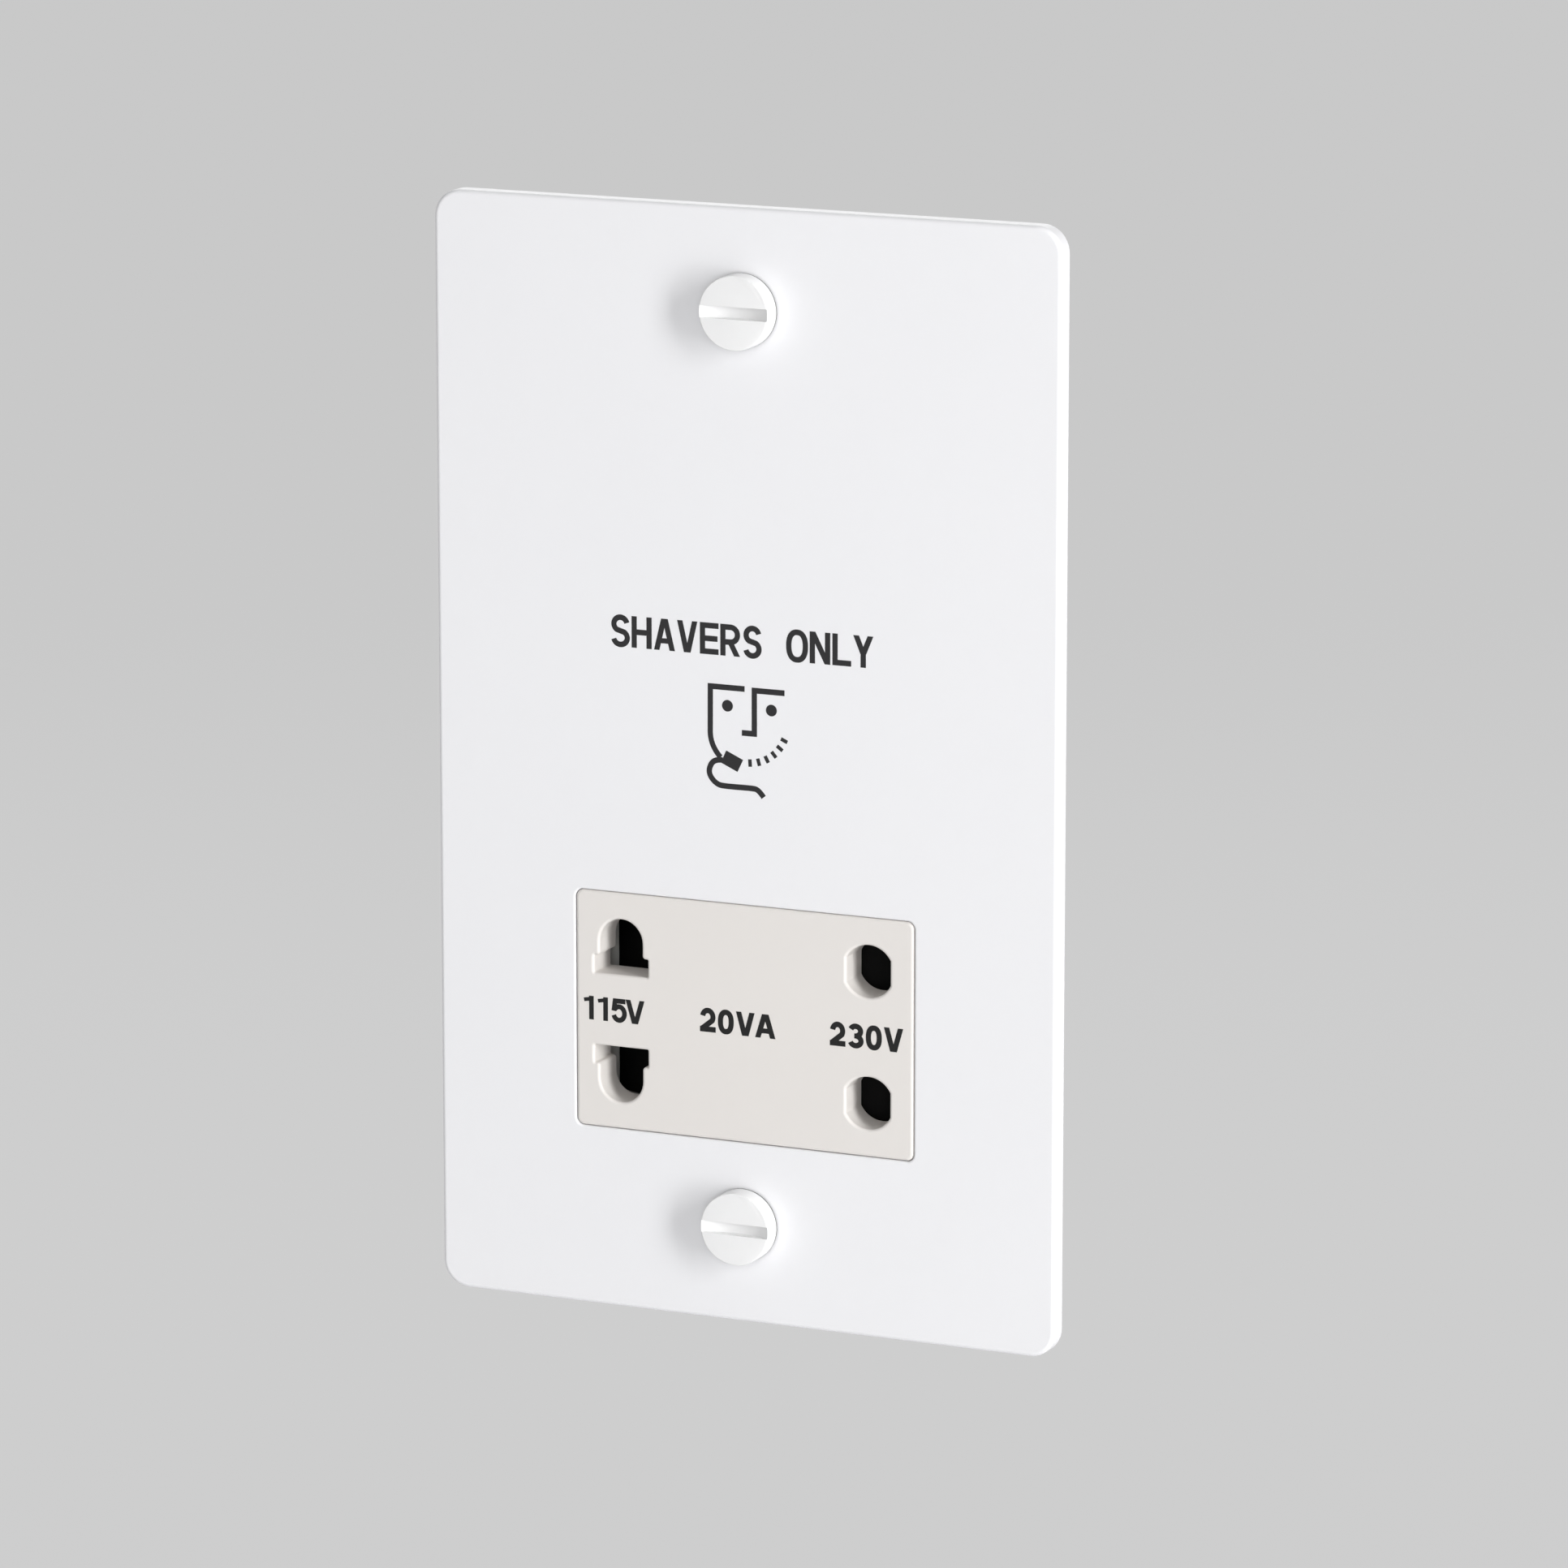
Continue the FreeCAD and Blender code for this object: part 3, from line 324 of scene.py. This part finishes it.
def close_tree(tree, instances, given, filled):
    """Ends a tree in plain geometry with its material."""
    real = add(tree, "GeometryNodeRealizeInstances", {"Geometry": instances}).outputs["Geometry"]
    painted = add(tree, "GeometryNodeSetMaterial", {"Geometry": real, "Material": given["Material"]})
    tree.links.new(painted.outputs["Geometry"], filled["Geometry"])


def plain_mesh(made):
    """Plain mesh of an object as it stands after evaluation; the object itself goes."""
    scene.collection.objects.link(made)
    bpy.context.view_layer.update()
    depsgraph = bpy.context.evaluated_depsgraph_get()
    mesh = bpy.data.meshes.new_from_object(made.evaluated_get(depsgraph))
    bpy.data.objects.remove(made)
    return mesh


def grow(tree, values):
    """Plain mesh that a tree makes with these input values."""
    seed = bpy.data.objects.new("seed", bpy.data.meshes.new("seed"))
    modifier = seed.modifiers.new("tree", "NODES")
    modifier.node_group = tree
    for item in tree.interface.items_tree:
        if item.in_out == "INPUT" and item.name in values:
            modifier[item.identifier] = values[item.name]
    return plain_mesh(seed)


def thread_tree():
    """Threaded rods along Y on a vertical line: a core with a coned tip and a wound ridge."""
    ridge_sunk, tip_taper = 1.4, 0.75
    turn_steps, ridge_sides, core_sides = 28, 6, 40
    tree, given, filled = geometry_tree("screw_thread", [
        ("Outer Radius", "Float", 1.75 * MM), ("Ridge", "Float", 0.18 * MM), ("Pitch", "Float", 0.6 * MM),
        ("Length", "Float", 24.0 * MM), ("Tip", "Float", 0.6 * MM), ("Start", "Float", 0.0),
        ("Middle", "Float", 0.0), ("Reach", "Float", 60.3 * MM)])
    core_radius = reckon(tree, "SUBTRACT", given["Outer Radius"],
                         reckon(tree, "MULTIPLY", given["Ridge"], ridge_sunk))
    plain_length = reckon(tree, "SUBTRACT", given["Length"], given["Tip"])
    wound_length = reckon(tree, "SUBTRACT", plain_length, given["Ridge"])
    wound_radius = reckon(tree, "SUBTRACT", given["Outer Radius"], given["Ridge"])
    spiral = add(tree, "GeometryNodeCurveSpiral", {
        "Resolution": turn_steps, "Rotations": reckon(tree, "DIVIDE", wound_length, given["Pitch"]),
        "Start Radius": wound_radius, "End Radius": wound_radius, "Height": wound_length})
    profile = add(tree, "GeometryNodeCurvePrimitiveCircle", {
        "Resolution": ridge_sides, "Radius": given["Ridge"]})
    ridge = add(tree, "GeometryNodeCurveToMesh", {
        "Curve": spiral.outputs["Curve"], "Profile Curve": profile.outputs["Curve"], "Fill Caps": True})
    core = add(tree, "GeometryNodeMeshCone", {
        "Vertices": core_sides, "Radius Top": core_radius, "Radius Bottom": core_radius,
        "Depth": plain_length})
    tip = add(tree, "GeometryNodeMeshCone", {
        "Vertices": core_sides, "Radius Top": reckon(tree, "MULTIPLY", core_radius, tip_taper),
        "Radius Bottom": core_radius, "Depth": given["Tip"]})
    raised = add(tree, "GeometryNodeTransform", {
        "Geometry": tip.outputs["Mesh"], "Translation": vector(tree, z=plain_length)})
    rod = tree.nodes.new("GeometryNodeJoinGeometry")
    for made in (raised.outputs["Geometry"], core.outputs["Mesh"], ridge.outputs["Mesh"]):
        tree.links.new(made, rod.inputs["Geometry"])
    low = reckon(tree, "SUBTRACT", given["Middle"], given["Reach"])
    high = reckon(tree, "ADD", given["Middle"], given["Reach"])
    line = add(tree, "GeometryNodeMeshLine", {
        "Count": 2, "Start Location": vector(tree, y=given["Start"], z=low),
        "Offset": vector(tree, y=given["Start"], z=high)}, mode="END_POINTS")
    placed = add(tree, "GeometryNodeInstanceOnPoints", {
        "Points": line.outputs["Mesh"], "Instance": rod.outputs["Geometry"],
        "Rotation": (-math.pi / 2, 0.0, 0.0)})
    close_tree(tree, placed.outputs["Instances"], given, filled)
    return tree


def threaded_screws():
    """The CAD heads and necks, with cut threads in place of the plain rods."""
    square_on, sharp_edge = 0.9999, math.radians(35)
    made = bmesh.new()
    made.from_mesh(nodes["fixing_screws"].data)
    bmesh.ops.remove_doubles(made, verts=made.verts, dist=SAME_POINT)
    rods = [f for f in made.faces if f.calc_center_median().y > neck_end - SAME_PLANE]
    bmesh.ops.delete(made, geom=rods, context="FACES")
    threads = grow(thread_tree(), {"Length": screw_tip - neck_end, "Start": neck_end, "Middle": fixing_middle,
                                   "Reach": fixing_reach, "Material": zinc_plate})
    made.from_mesh(threads)
    made.normal_update()
    for face in made.faces:
        face.material_index = 0 if face.calc_center_median().y < plate_front - SAME_PLANE else 1
        face.smooth = max(abs(face.normal.y), abs(face.normal.z)) < square_on
    mesh = bpy.data.meshes.new("threaded_screws")
    made.to_mesh(mesh)
    made.free()
    carried = mesh.attributes.get("custom_normal")
    if carried:
        mesh.attributes.remove(carried)
    mesh.set_sharp_from_angle(angle=sharp_edge)
    bpy.data.meshes.remove(threads)
    screws = piece("threaded_screws", mesh, [screw_enamel_and_shadow, zinc_plate], "housing")
    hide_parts("fixing_screws")


# Printed markings, in millimetres across the side that they face

FILM = 0.016
FILM_STEP = 0.001
FILM_STEPS = 9


class Ink:
    """Thin printed film on a plane across Y, built from strips and patches.

    Facing is -1 for a print that is read from the front and 1 for one that is read from behind.
    """

    def __init__(self, plane=plate_front, facing=-1):
        self.mesh = bmesh.new()
        self.count = 0
        self.plane = plane
        self.facing = facing

    def film(self):
        """Place of the next strip's outer face; steps keep strips that cross from lying in one plane."""
        self.count += 1
        return self.plane + self.facing * (FILM + FILM_STEP * (self.count % FILM_STEPS)) * MM

    def ring(self, outline, y):
        return [self.mesh.verts.new((-self.facing * x * MM, y, z * MM)) for x, z in outline]

    def patch(self, outline):
        """Filled outline."""
        front = self.ring(outline, self.film())
        back = self.ring(outline, self.plane)
        self.mesh.faces.new(front)
        self.mesh.faces.new(back[::-1])
        for k in range(len(front)):
            self.mesh.faces.new((front[k - 1], back[k - 1], back[k], front[k]))

    def strip(self, points, width, closed=False):
        """Line of even width through points, mitred at its corners."""
        least_cosine = 0.4
        path = [Vector(p) for p in points]
        last = len(path) - 1
        left, right = [], []
        for k, p in enumerate(path):
            runs = []
            if k or closed:
                runs.append((p - path[k - 1]).normalized())
            if k < last or closed:
                runs.append((path[(k + 1) % len(path)] - p).normalized())
            along = sum(runs, Vector((0, 0))).normalized()
            across = Vector((-along.y, along.x))
            reach = width / 2 / max(least_cosine, across.dot(Vector((-runs[0].y, runs[0].x))))
            left.append(p + across * reach)
            right.append(p - across * reach)
        y = self.film()
        sides = ((left, y), (right, y), (right, self.plane), (left, self.plane))
        rings = [self.ring(side, depth) for side, depth in sides]
        for k in range(0 if closed else 1, len(path)):
            for a, b in zip(rings, rings[1:] + rings[:1]):
                self.mesh.faces.new((a[k - 1], b[k - 1], b[k], a[k]))
        if not closed:
            for k in (0, last):
                self.mesh.faces.new([ring[k] for ring in rings])

    def slant(self, x0, z0, x1, z1, width):
        """Straight stroke whose ends are cut level."""
        level = width * math.hypot(x1 - x0, z1 - z0) / abs(z1 - z0) / 2
        self.patch([(x0 - level, z0), (x0 + level, z0), (x1 + level, z1), (x1 - level, z1)])

    def disc(self, x, z, radius, sides=32):
        turns = [k * math.tau / sides for k in range(sides)]
        self.patch([(x + radius * math.cos(a), z + radius * math.sin(a)) for a in turns])

    def done(self, name):
        """Mesh of all that was drawn."""
        bmesh.ops.recalc_face_normals(self.mesh, faces=self.mesh.faces)
        mesh = bpy.data.meshes.new(name)
        self.mesh.to_mesh(mesh)
        self.mesh.free()
        return mesh


def bow(cx, cz, rx, rz, start, end, steps=18):
    """Points along part of an oval, angles in degrees."""
    angles = [math.radians(start + (end - start) * k / steps) for k in range(steps + 1)]
    return [(cx + rx * math.cos(a), cz + rz * math.sin(a)) for a in angles]


def straighten(share, square=2.35):
    """Sine or cosine pushed outwards, which straightens an oval's sides a little."""
    return math.copysign(abs(share) ** (2 / square), share)


def oval(cx, cz, rx, rz, steps=44):
    """Closed oval with slightly straightened sides."""
    turns = [k * math.tau / steps for k in range(steps)]
    return [(cx + rx * straighten(math.cos(a)), cz + rz * straighten(math.sin(a))) for a in turns]


def letter(ink, sign, x0, x1, z0, height, width):
    """One capital or figure in strokes of even width between x0 and x1; round ones swell past the line."""
    half = width / 2
    swell = 0.022 * height
    splay = half * 1.05
    pinch = half * 0.25
    left, right, middle = x0 + half, x1 - half, (x0 + x1) / 2
    low = z0 + half - (swell if sign in "SO035" else 0.0)
    high = z0 + height - half + (swell if sign in "SO023" else 0.0)
    waist = z0 + height / 2
    top = z0 + height
    rx = (right - left) / 2
    upper = (high - waist) / 2
    lower = (waist - low) / 2
    if sign in "HNR":
        ink.strip([(left, z0), (left, top)], width)
    if sign in "HN":
        ink.strip([(right, z0), (right, top)], width)
    if sign == "H":
        ink.strip([(left, waist), (right, waist)], width)
    elif sign == "N":
        ink.slant(right, z0, left, top, width)
    elif sign == "R":
        fold = z0 + height * 0.44
        radius = (high - fold) / 2
        inner = right - radius
        turn = bow(inner, high - radius, radius, radius, 85, -85)
        ink.strip([(left, high), (inner, high)] + turn + [(inner, fold), (left, fold)], width)
        ink.slant(x1 - half * 1.15, z0, middle, fold, width)
    elif sign == "A":
        ink.slant(x0 + splay, z0, middle - pinch, top, width)
        ink.slant(x1 - splay, z0, middle + pinch, top, width)
        bar = z0 + height * 0.3
        ink.strip([(middle - rx * 0.62, bar), (middle + rx * 0.62, bar)], width * 0.92)
    elif sign == "V":
        ink.slant(middle - pinch, z0, x0 + splay, top, width)
        ink.slant(middle + pinch, z0, x1 - splay, top, width)
    elif sign == "Y":
        fork = z0 + height * 0.42
        ink.slant(middle, fork, x0 + splay, top, width)
        ink.slant(middle, fork, x1 - splay, top, width)
        ink.strip([(middle, z0), (middle, fork + half)], width)
    elif sign == "E":
        ink.strip([(x1, high), (left, high), (left, low), (x1, low)], width)
        ink.strip([(left, waist), (x1 - half * 0.4, waist)], width)
    elif sign == "L":
        ink.strip([(left, top), (left, low), (x1, low)], width)
    elif sign == "S":
        head = bow(middle, high - upper, rx * 0.96, upper, 12, 236)
        ink.strip(head + bow(middle, low + lower, rx, lower, 58, -168), width)
    elif sign in "O0":
        ink.strip(oval(middle, waist, rx, (high - low) / 2), width, closed=True)
    elif sign == "1":
        ink.strip([(right, z0), (right, top)], width)
        flag = [(x0, z0 + height * 0.82), (middle, z0 + height * 0.86), (right, top - half * 0.9)]
        ink.strip(flag, width * 0.75)
    elif sign == "2":
        rz = height * 0.27
        head = bow(middle, high - rz, rx * 0.96, rz, 172, -32)
        ink.strip(head + [(left - half * 0.35, low)], width)
        ink.strip([(x0, low), (x1, low)], width)
    elif sign == "3":
        ink.strip(bow(middle, high - upper, rx * 0.92, upper, 160, -82), width)
        ink.strip(bow(middle, low + lower, rx, lower, 82, -162), width)
        ink.strip([(middle - rx * 0.25, waist), (middle + rx * 0.2, waist)], width * 0.92)
    elif sign == "5":
        rz = height * 0.29
        neck = (left + rx * 0.05, z0 + height * 0.47)
        ink.strip([(x1 - half * 0.6, high), (left + rx * 0.28, high), neck], width)
        ink.strip(bow(middle, low + rz, rx, rz, 148, -164), width)


# Each sign with its left and right sides
LEGEND = [("S", -18.81, -16.11), ("H", -15.86, -12.99), ("A", -12.66, -9.66), ("V", -9.36, -6.46),
          ("E", -6.11, -3.46), ("R", -3.21, -0.41), ("S", 0.04, 2.64), ("O", 6.10, 9.18), ("N", 9.42, 12.30),
          ("L", 12.60, 15.23), ("Y", 15.53, 18.31)]
LEGEND_FOOT = 15.2
LEGEND_HEIGHT = 4.15
LEGEND_STROKE = 0.74

# The ratings by their stroke, which is a little finer on the left
RATINGS = {0.67: [("1", -22.97, -21.57), ("1", -20.95, -19.51), ("5", -19.02, -16.77), ("V", -16.95, -14.22)],
           0.725: [("2", -6.22, -3.96), ("0", -3.64, -1.38), ("V", -1.06, 1.61), ("A", 1.68, 4.58),
                   ("2", 12.31, 14.51), ("3", 14.82, 17.08), ("0", 17.39, 19.65), ("V", 19.93, 22.66)]}
RATINGS_FOOT = -34.95
RATINGS_HEIGHT = 3.17


def printed(name, mesh, ink):
    piece(name, mesh, [ink], "housing")


def printed_letters():
    plate_print = Ink()
    for sign, x0, x1 in LEGEND:
        letter(plate_print, sign, x0, x1, LEGEND_FOOT, LEGEND_HEIGHT, LEGEND_STROKE)
    printed("printed_legend", plate_print.done("printed_legend"), plate_ink)
    face_print = Ink()
    for stroke, signs in RATINGS.items():
        for sign, x0, x1 in signs:
            letter(face_print, sign, x0, x1, RATINGS_FOOT, RATINGS_HEIGHT, stroke)
    printed("printed_ratings", face_print.done("printed_ratings"), face_ink)


def smooth_line(points):
    """Points along a smooth spline that the given control points pull."""
    curve = bpy.data.curves.new("line", "CURVE")
    curve.dimensions = "3D"
    spline = curve.splines.new("NURBS")
    spline.points.add(len(points) - 1)
    for point, (x, z) in zip(spline.points, points):
        point.co = (x, 0.0, z, 1.0)
    spline.order_u = 3
    spline.use_endpoint_u = True
    spline.resolution_u = 6
    mesh = plain_mesh(bpy.data.objects.new("line", curve))
    found = [(v.co.x, v.co.z) for v in mesh.vertices]
    bpy.data.meshes.remove(mesh)
    return found


def stubble_tree():
    """Short bars set on an arc, each pointing to the arc's centre."""
    tree, given, filled = geometry_tree("stubble", [
        ("Count", "Int", 6), ("Centre X", "Float", 0.64 * MM), ("Centre Z", "Float", 7.008 * MM),
        ("Radius", "Float", 5.653 * MM), ("First Angle", "Float", math.radians(-86.5)),
        ("Step", "Float", math.radians(12.54)), ("Depth", "Float", 0.0),
        ("Bar", "Vector", (0.98 * MM, 0.03 * MM, 0.5 * MM))])
    index = tree.nodes.new("GeometryNodeInputIndex").outputs["Index"]
    angle = reckon(tree, "ADD", given["First Angle"], reckon(tree, "MULTIPLY", index, given["Step"]))
    aside = reckon(tree, "MULTIPLY", given["Radius"], reckon(tree, "COSINE", angle))
    above = reckon(tree, "MULTIPLY", given["Radius"], reckon(tree, "SINE", angle))
    place = vector(tree, reckon(tree, "ADD", given["Centre X"], aside), given["Depth"],
                   reckon(tree, "ADD", given["Centre Z"], above))
    points = add(tree, "GeometryNodePoints", {"Count": given["Count"], "Position": place})
    bar = add(tree, "GeometryNodeMeshCube", {"Size": given["Bar"]})
    placed = add(tree, "GeometryNodeInstanceOnPoints", {
        "Points": points.outputs["Points"], "Instance": bar.outputs["Mesh"],
        "Rotation": vector(tree, y=reckon(tree, "MULTIPLY", angle, -1.0))})
    close_tree(tree, placed.outputs["Instances"], given, filled)
    return tree


def printed_pictogram():
    """The plain shaver sign: a few straight lines for a face, stubble, and a shaver with its flex."""
    line, eye = 0.75, 0.77
    ink = Ink()
    cheek = smooth_line([(-4.66, 5.4), (-4.75, 3.3), (-3.2, 1.78)])
    ink.strip([(0.22, 11.04), (-4.64, 11.04)] + cheek, line)
    ink.strip([(5.87, 10.95), (1.6, 10.95), (1.6, 5.25), (-0.17, 5.25)], line)
    ink.disc(-2.21, 8.64, eye)
    ink.disc(4.01, 8.53, eye)
    ink.patch([(-2.4, 2.74), (0.0, 1.68), (-0.8, 0.04), (-3.15, 1.08)])
    flex = smooth_line([(-2.9, 1.43), (-4.07, 1.47), (-4.87, 0.23), (-4.72, -0.85), (-3.65, -1.89),
                        (-2.35, -1.99), (1.11, -1.94), (2.2, -2.03), (2.92, -3.0)])
    ink.strip(flex, line)
    mesh = ink.done("printed_pictogram")
    bars = grow(stubble_tree(), {"Depth": plate_front, "Material": plate_ink})
    joined = bmesh.new()
    joined.from_mesh(mesh)
    joined.from_mesh(bars)
    joined.to_mesh(mesh)
    joined.free()
    bpy.data.meshes.remove(bars)
    printed("printed_pictogram", mesh, plate_ink)


def terminal_marks():
    """Letters under the mains terminals and the earth sign beside its terminal, as seen from behind."""
    stroke = 0.42
    letter_height, letter_half, letter_lift = 2.4, 0.85, 1.1
    barrel_width = 6.4
    barrel_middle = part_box("terminal_barrels")[1].x / MM - barrel_width / 2
    block_low, block_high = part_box("terminal_block")
    marks = Ink(block_high.y, 1)
    foot = block_low.z / MM + letter_lift
    for sign, x in (("L", barrel_middle), ("N", -barrel_middle)):
        letter(marks, sign, -x - letter_half, -x + letter_half, foot, letter_height, stroke)
    printed("printed_terminals", marks.done("printed_terminals"), plate_ink)
    earth_aside, earth_stem, earth_spacing = 3.6, 2.2, 0.8
    earth_low, earth_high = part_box("earth_terminal")
    x, z = earth_aside - earth_low.x / MM, (earth_low.z + earth_high.z) / 2 / MM
    earth = Ink(earth_low.y, 1)
    earth.strip([(x, z + earth_stem), (x, z)], stroke)
    for step, half in enumerate((1.9, 1.25, 0.6)):
        level = z - earth_spacing * step
        earth.strip([(x - half, level), (x + half, level)], stroke)
    printed("printed_earth_sign", earth.done("printed_earth_sign"), plate_ink)


threaded_screws()
printed_letters()
printed_pictogram()
terminal_marks()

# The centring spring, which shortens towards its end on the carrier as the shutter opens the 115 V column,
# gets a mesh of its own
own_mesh(nodes["shutter_spring"])


# Camera, light and floor, in metres

CAMERA_AZIMUTH = math.radians(24.356)
CAMERA_ELEVATION = math.radians(12.011)
CAMERA_DISTANCE = 1.0478
CAMERA_TARGET = Vector((4.66 * MM, 0.0, -1.56 * MM))
FOCAL_PIXELS = 9992.7
IMAGE_PIXELS = 1932
SENSOR_WIDTH = 36.0

# Each lamp's place, width and height, and power in watts
LAMPS = {
    "key": ((1.605, -0.7, 0.26), (0.36, 1.3), 25.5),
    "fill": ((0.45, -1.82, 0.42), (1.4, 1.4), 10.6),
    "rear": ((-0.8, 1.6, 0.9), (1.2, 1.2), 16.0),
}
WORLD_STRENGTH = 0.35

FLOOR_HEIGHT = -0.45
FLOOR_REACH = 30.0
FLOOR_GLOW = 0.92


def photo_camera():
    aside, ahead = math.sin(CAMERA_AZIMUTH), math.cos(CAMERA_AZIMUTH)
    level = math.cos(CAMERA_ELEVATION)
    back = Vector((aside * level, -ahead * level, math.sin(CAMERA_ELEVATION)))
    right = Vector((ahead, aside, 0.0))
    up = back.cross(right)
    data = bpy.data.cameras.new("photo_camera")
    data.sensor_width = SENSOR_WIDTH
    data.lens = FOCAL_PIXELS / IMAGE_PIXELS * SENSOR_WIDTH
    data.clip_end = 100.0
    camera = bpy.data.objects.new("photo_camera", data)
    place = CAMERA_TARGET + back * CAMERA_DISTANCE
    camera.matrix_world = Matrix.Translation(place) @ Matrix((right, up, back)).transposed().to_4x4()
    scene.collection.objects.link(camera)
    scene.camera = camera


def soft_light(name, place, size, power):
    """Panel of light that looks at the part's middle."""
    data = bpy.data.lights.new(name, "AREA")
    data.shape = "RECTANGLE"
    data.size, data.size_y = size
    data.energy = power
    light = bpy.data.objects.new(name, data)
    light.location = place
    light.rotation_euler = (-Vector(place)).to_track_quat("-Z", "Y").to_euler()
    scene.collection.objects.link(light)


def floor_grey():
    """Pale grey that mostly glows evenly where the camera or a reflection sees it, and lights like paint."""
    material = bpy.data.materials.new("floor_grey")
    material.use_nodes = True
    tree = material.node_tree
    shader = tree.nodes["Principled BSDF"]
    feed(tree, shader, {"Base Color": linear(225, 225, 226), "Roughness": 0.9, "Specular IOR Level": 0.0})
    glow = add(tree, "ShaderNodeEmission", {"Color": linear(205, 205, 205)})
    rays = tree.nodes.new("ShaderNodeLightPath").outputs
    seen = rays["Is Camera Ray"]
    for kind in ("Is Glossy Ray", "Is Transmission Ray"):
        seen = reckon(tree, "MAXIMUM", seen, rays[kind])
    mix = add(tree, "ShaderNodeMixShader", {"Fac": reckon(tree, "MULTIPLY", seen, FLOOR_GLOW),
                                            1: shader.outputs["BSDF"], 2: glow.outputs["Emission"]})
    tree.links.new(mix.outputs["Shader"], tree.nodes["Material Output"].inputs["Surface"])
    return material


def pale_floor():
    mesh = bpy.data.meshes.new("floor")
    shape = bmesh.new()
    bmesh.ops.create_grid(shape, x_segments=2, y_segments=2, size=FLOOR_REACH)
    bmesh.ops.translate(shape, verts=shape.verts, vec=(0.0, 0.0, FLOOR_HEIGHT))
    shape.to_mesh(mesh)
    shape.free()
    mesh.materials.append(floor_grey())
    floor = bpy.data.objects.new("floor", mesh)
    scene.collection.objects.link(floor)


def studio():
    world = bpy.data.worlds.new("studio")
    world.use_nodes = True
    feed(world.node_tree, world.node_tree.nodes["Background"],
         {"Color": (1.0, 1.0, 1.0, 1.0), "Strength": WORLD_STRENGTH})
    scene.world = world
    for name, (place, size, power) in LAMPS.items():
        soft_light(name, place, size, power)


photo_camera()
pale_floor()
studio()
